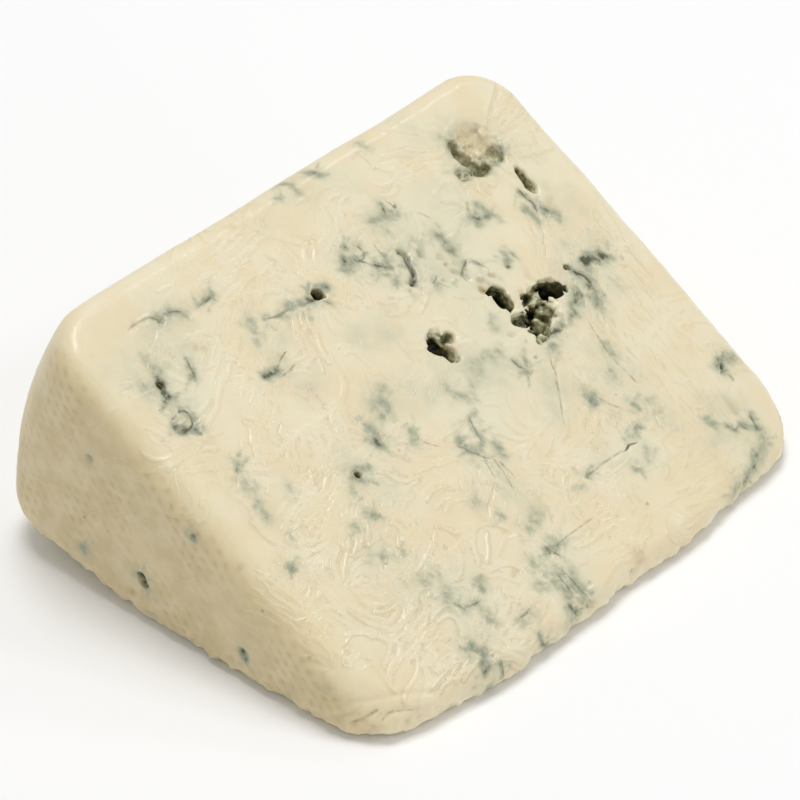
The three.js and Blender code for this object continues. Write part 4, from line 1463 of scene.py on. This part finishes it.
def plain_curd(tree):
    """Cream curd, whiter or yellower in places, with painted shade beside its folds and a darker tan in
    the mat's dimples that is partly painted shade.
    """
    curd = blended(tree, mottled(tree, *WARM_MOTTLE), CREAM, CREAM_WARM)
    grain = times(tree, speckle(tree, *WHITE_GRAIN), WHITE_GRAIN_SHARE)
    whiteness = plus(tree, stored(tree, "white"), grain)
    curd = blended(tree, limited(tree, whiteness, *WHITE_FADE), curd, CREAM_WHITE)
    # Painted shade along one side of each fold.
    curd = blended(tree, painted_fold_shade(tree), curd, PAINTED_FOLD_SHADE)
    smudged = blended(tree, mottled(tree, *SMUDGE_MOTTLE), FLAT_CREAM, FLAT_SMUDGE)
    curd = blended(tree, stored(tree, "flat"), curd, smudged)
    curd = blended(tree, times(tree, stored(tree, "yellow"), YELLOW_SHARE), curd, CREAM_YELLOW)
    # Darker tan in the mat's dimples, partly painted shade.
    return blended(tree, times(tree, stored(tree, "dimple"), DIMPLE_SHARE), curd, DIMPLE_TAN_AND_SHADE)


def cheese_colour(tree):
    """Curd with blue clouds and stains, painted shade in the gaps of the crumbly curd, hollows of olive
    mould that darken with depth as painted shade, tan patches, and thin dark lines and dots of mould with
    painted shade in the cracks and pricks.
    """
    broad = plus(tree, mottled(tree, *CLOUD_MOTTLE), CLOUD_LEAST)
    curd = blended(tree, times(tree, stored(tree, "cloud"), broad), plain_curd(tree), CLOUD)
    # Painted shade in the gaps between crumbly curd lumps.
    curd = blended(tree, times(tree, stored(tree, "gap"), GAP_SHADE_SHARE), curd, GAP_PAINTED_SHADE)
    stain = blue_amount(tree)
    blue = colour_steps(tree, stain, STAIN_COLOURS)
    curd = blended(tree, limited(tree, stain, *STAIN_FADE), curd, blue)

    hollow = stored(tree, "hollow")
    grainy = maths(tree, "SUBTRACT", mottled(tree, *HOLLOW_MOTTLE), 0.5)
    depth = plus(tree, hollow, times(tree, grainy, HOLLOW_GRAIN))
    # Olive mould in the hollows, darkened with depth as painted shade.
    inside = colour_steps(tree, times(tree, depth, 1 / HOLLOW_DARKEST_SHADE_DEPTH), HOLLOW_MOULD_AND_SHADE_COLOURS)
    curd = blended(tree, limited(tree, hollow, *HOLLOW_FADE), curd, inside)
    curd = blended(tree, stored(tree, "tan"), curd, TAN)

    # Thin dark lines and dots of mould, with painted shade in the cracks and pricks.
    broken = plus(tree, mottled(tree, *THREAD_MOTTLE), THREAD_LEAST)
    thread = times(tree, line_share(tree, "thread"), broken)
    return blended(tree, times(tree, thread, THREAD_SHARE, True), curd, MOULD_AND_CRACK_SHADE)


def cheese_bump(tree):
    """Fine folds and grain of the skin."""
    grain = times(tree, speckle(tree, *SKIN_GRAIN), SKIN_GRAIN_SHARE)
    height = plus(tree, line_share(tree, "fold"), grain)
    inputs = {"Height": height, "Strength": 1.0, "Distance": BUMP_HEIGHT * MM}
    return add_node(tree, "ShaderNodeBump", inputs).outputs["Normal"]


SUBSURFACE_SHARE = 0.35
SUBSURFACE_REACH = (1.0, 0.7, 0.35)  # of red, green and blue light
SUBSURFACE_DEPTH = 2.0
COAT_ROUGHNESS = 0.16
REFRACTION = 1.42
FLOOR_COLOUR = (0.95, 0.95, 0.95, 1)
FLOOR_ROUGHNESS = 0.8


def cheese_material():
    material = bpy.data.materials.new("blue_cheese")
    material.use_nodes = True
    tree = material.node_tree
    shader = tree.nodes["Principled BSDF"]
    tree.links.new(cheese_colour(tree), shader.inputs["Base Color"])
    dull = times(tree, limited(tree, stored(tree, "stain"), *DULL_STAIN), DULL_ROUGHENING)
    smoothing = times(tree, stored(tree, "moist"), MOIST_SMOOTHING)
    dry = maths(tree, "SUBTRACT", DRY_ROUGHNESS, smoothing)
    tree.links.new(plus(tree, dull, dry), shader.inputs["Roughness"])
    bump = cheese_bump(tree)
    tree.links.new(bump, shader.inputs["Normal"])
    tree.links.new(bump, shader.inputs["Coat Normal"])
    shader.inputs["Subsurface Weight"].default_value = SUBSURFACE_SHARE
    shader.inputs["Subsurface Radius"].default_value = SUBSURFACE_REACH
    shader.inputs["Subsurface Scale"].default_value = SUBSURFACE_DEPTH * MM
    coat = plus(tree, times(tree, stored(tree, "moist"), MOIST_COAT), LEAST_COAT)
    tree.links.new(coat, shader.inputs["Coat Weight"])
    shader.inputs["Coat Roughness"].default_value = COAT_ROUGHNESS
    shader.inputs["IOR"].default_value = REFRACTION
    return material


def floor_material():
    material = bpy.data.materials.new("pale_floor")
    material.use_nodes = True
    shader = material.node_tree.nodes["Principled BSDF"]
    shader.inputs["Base Color"].default_value = FLOOR_COLOUR
    shader.inputs["Roughness"].default_value = FLOOR_ROUGHNESS
    return material


# --------------------------------------------------------------------------- floor, light and camera
def add_floor():
    corners = np.array([(-1, -1, 0), (1, -1, 0), (1, 1, 0), (-1, 1, 0)]) * FLOOR_HALF_SIZE
    corners[:, 2] = -FLOOR_GAP
    floor = to_object("floor", corners * MM, np.array([[0, 1, 2, 3]]))
    floor.data.materials.append(floor_material())


def add_lamp(name, towards, away, size, power):
    """A square soft light, away from the wedge in a given direction."""
    lamp = bpy.data.lights.new(name, "AREA")
    lamp.size = size
    lamp.energy = power
    thing = bpy.data.objects.new(name, lamp)
    direction = Vector(towards).normalized()
    thing.location = direction * away
    thing.rotation_euler = direction.to_track_quat("Z", "Y").to_euler()
    bpy.context.scene.collection.objects.link(thing)


def add_light():
    world = bpy.data.worlds.new("studio")
    world.use_nodes = True
    world.node_tree.nodes["Background"].inputs["Color"].default_value = (1, 1, 1, 1)
    world.node_tree.nodes["Background"].inputs["Strength"].default_value = SKY
    bpy.context.scene.world = world
    for name, towards, away, size, power in LAMPS:
        add_lamp(name, towards, away, size, power)


def add_camera():
    """Looks at the wedge from above, and from the right of the near flat face."""
    away = camera_axes()[0]
    camera = bpy.data.objects.new("camera", bpy.data.cameras.new("camera"))
    camera.data.sensor_width = SENSOR_WIDTH
    camera.data.lens = CAMERA_LENS
    camera.location = (CAMERA_TARGET + away * CAMERA_DISTANCE) * MM
    camera.rotation_euler = Vector(away).to_track_quat("Z", "Y").to_euler()
    bpy.context.scene.collection.objects.link(camera)
    bpy.context.scene.camera = camera


FOLDS = list(fold_lines())
add_camera()
add_light()
add_floor()
wedge = cheese_wedge()
wedge.data.materials.append(cheese_material())
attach(wedge, "root")
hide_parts("cheese_wedge")
bpy.context.scene.view_settings.view_transform = "Standard"
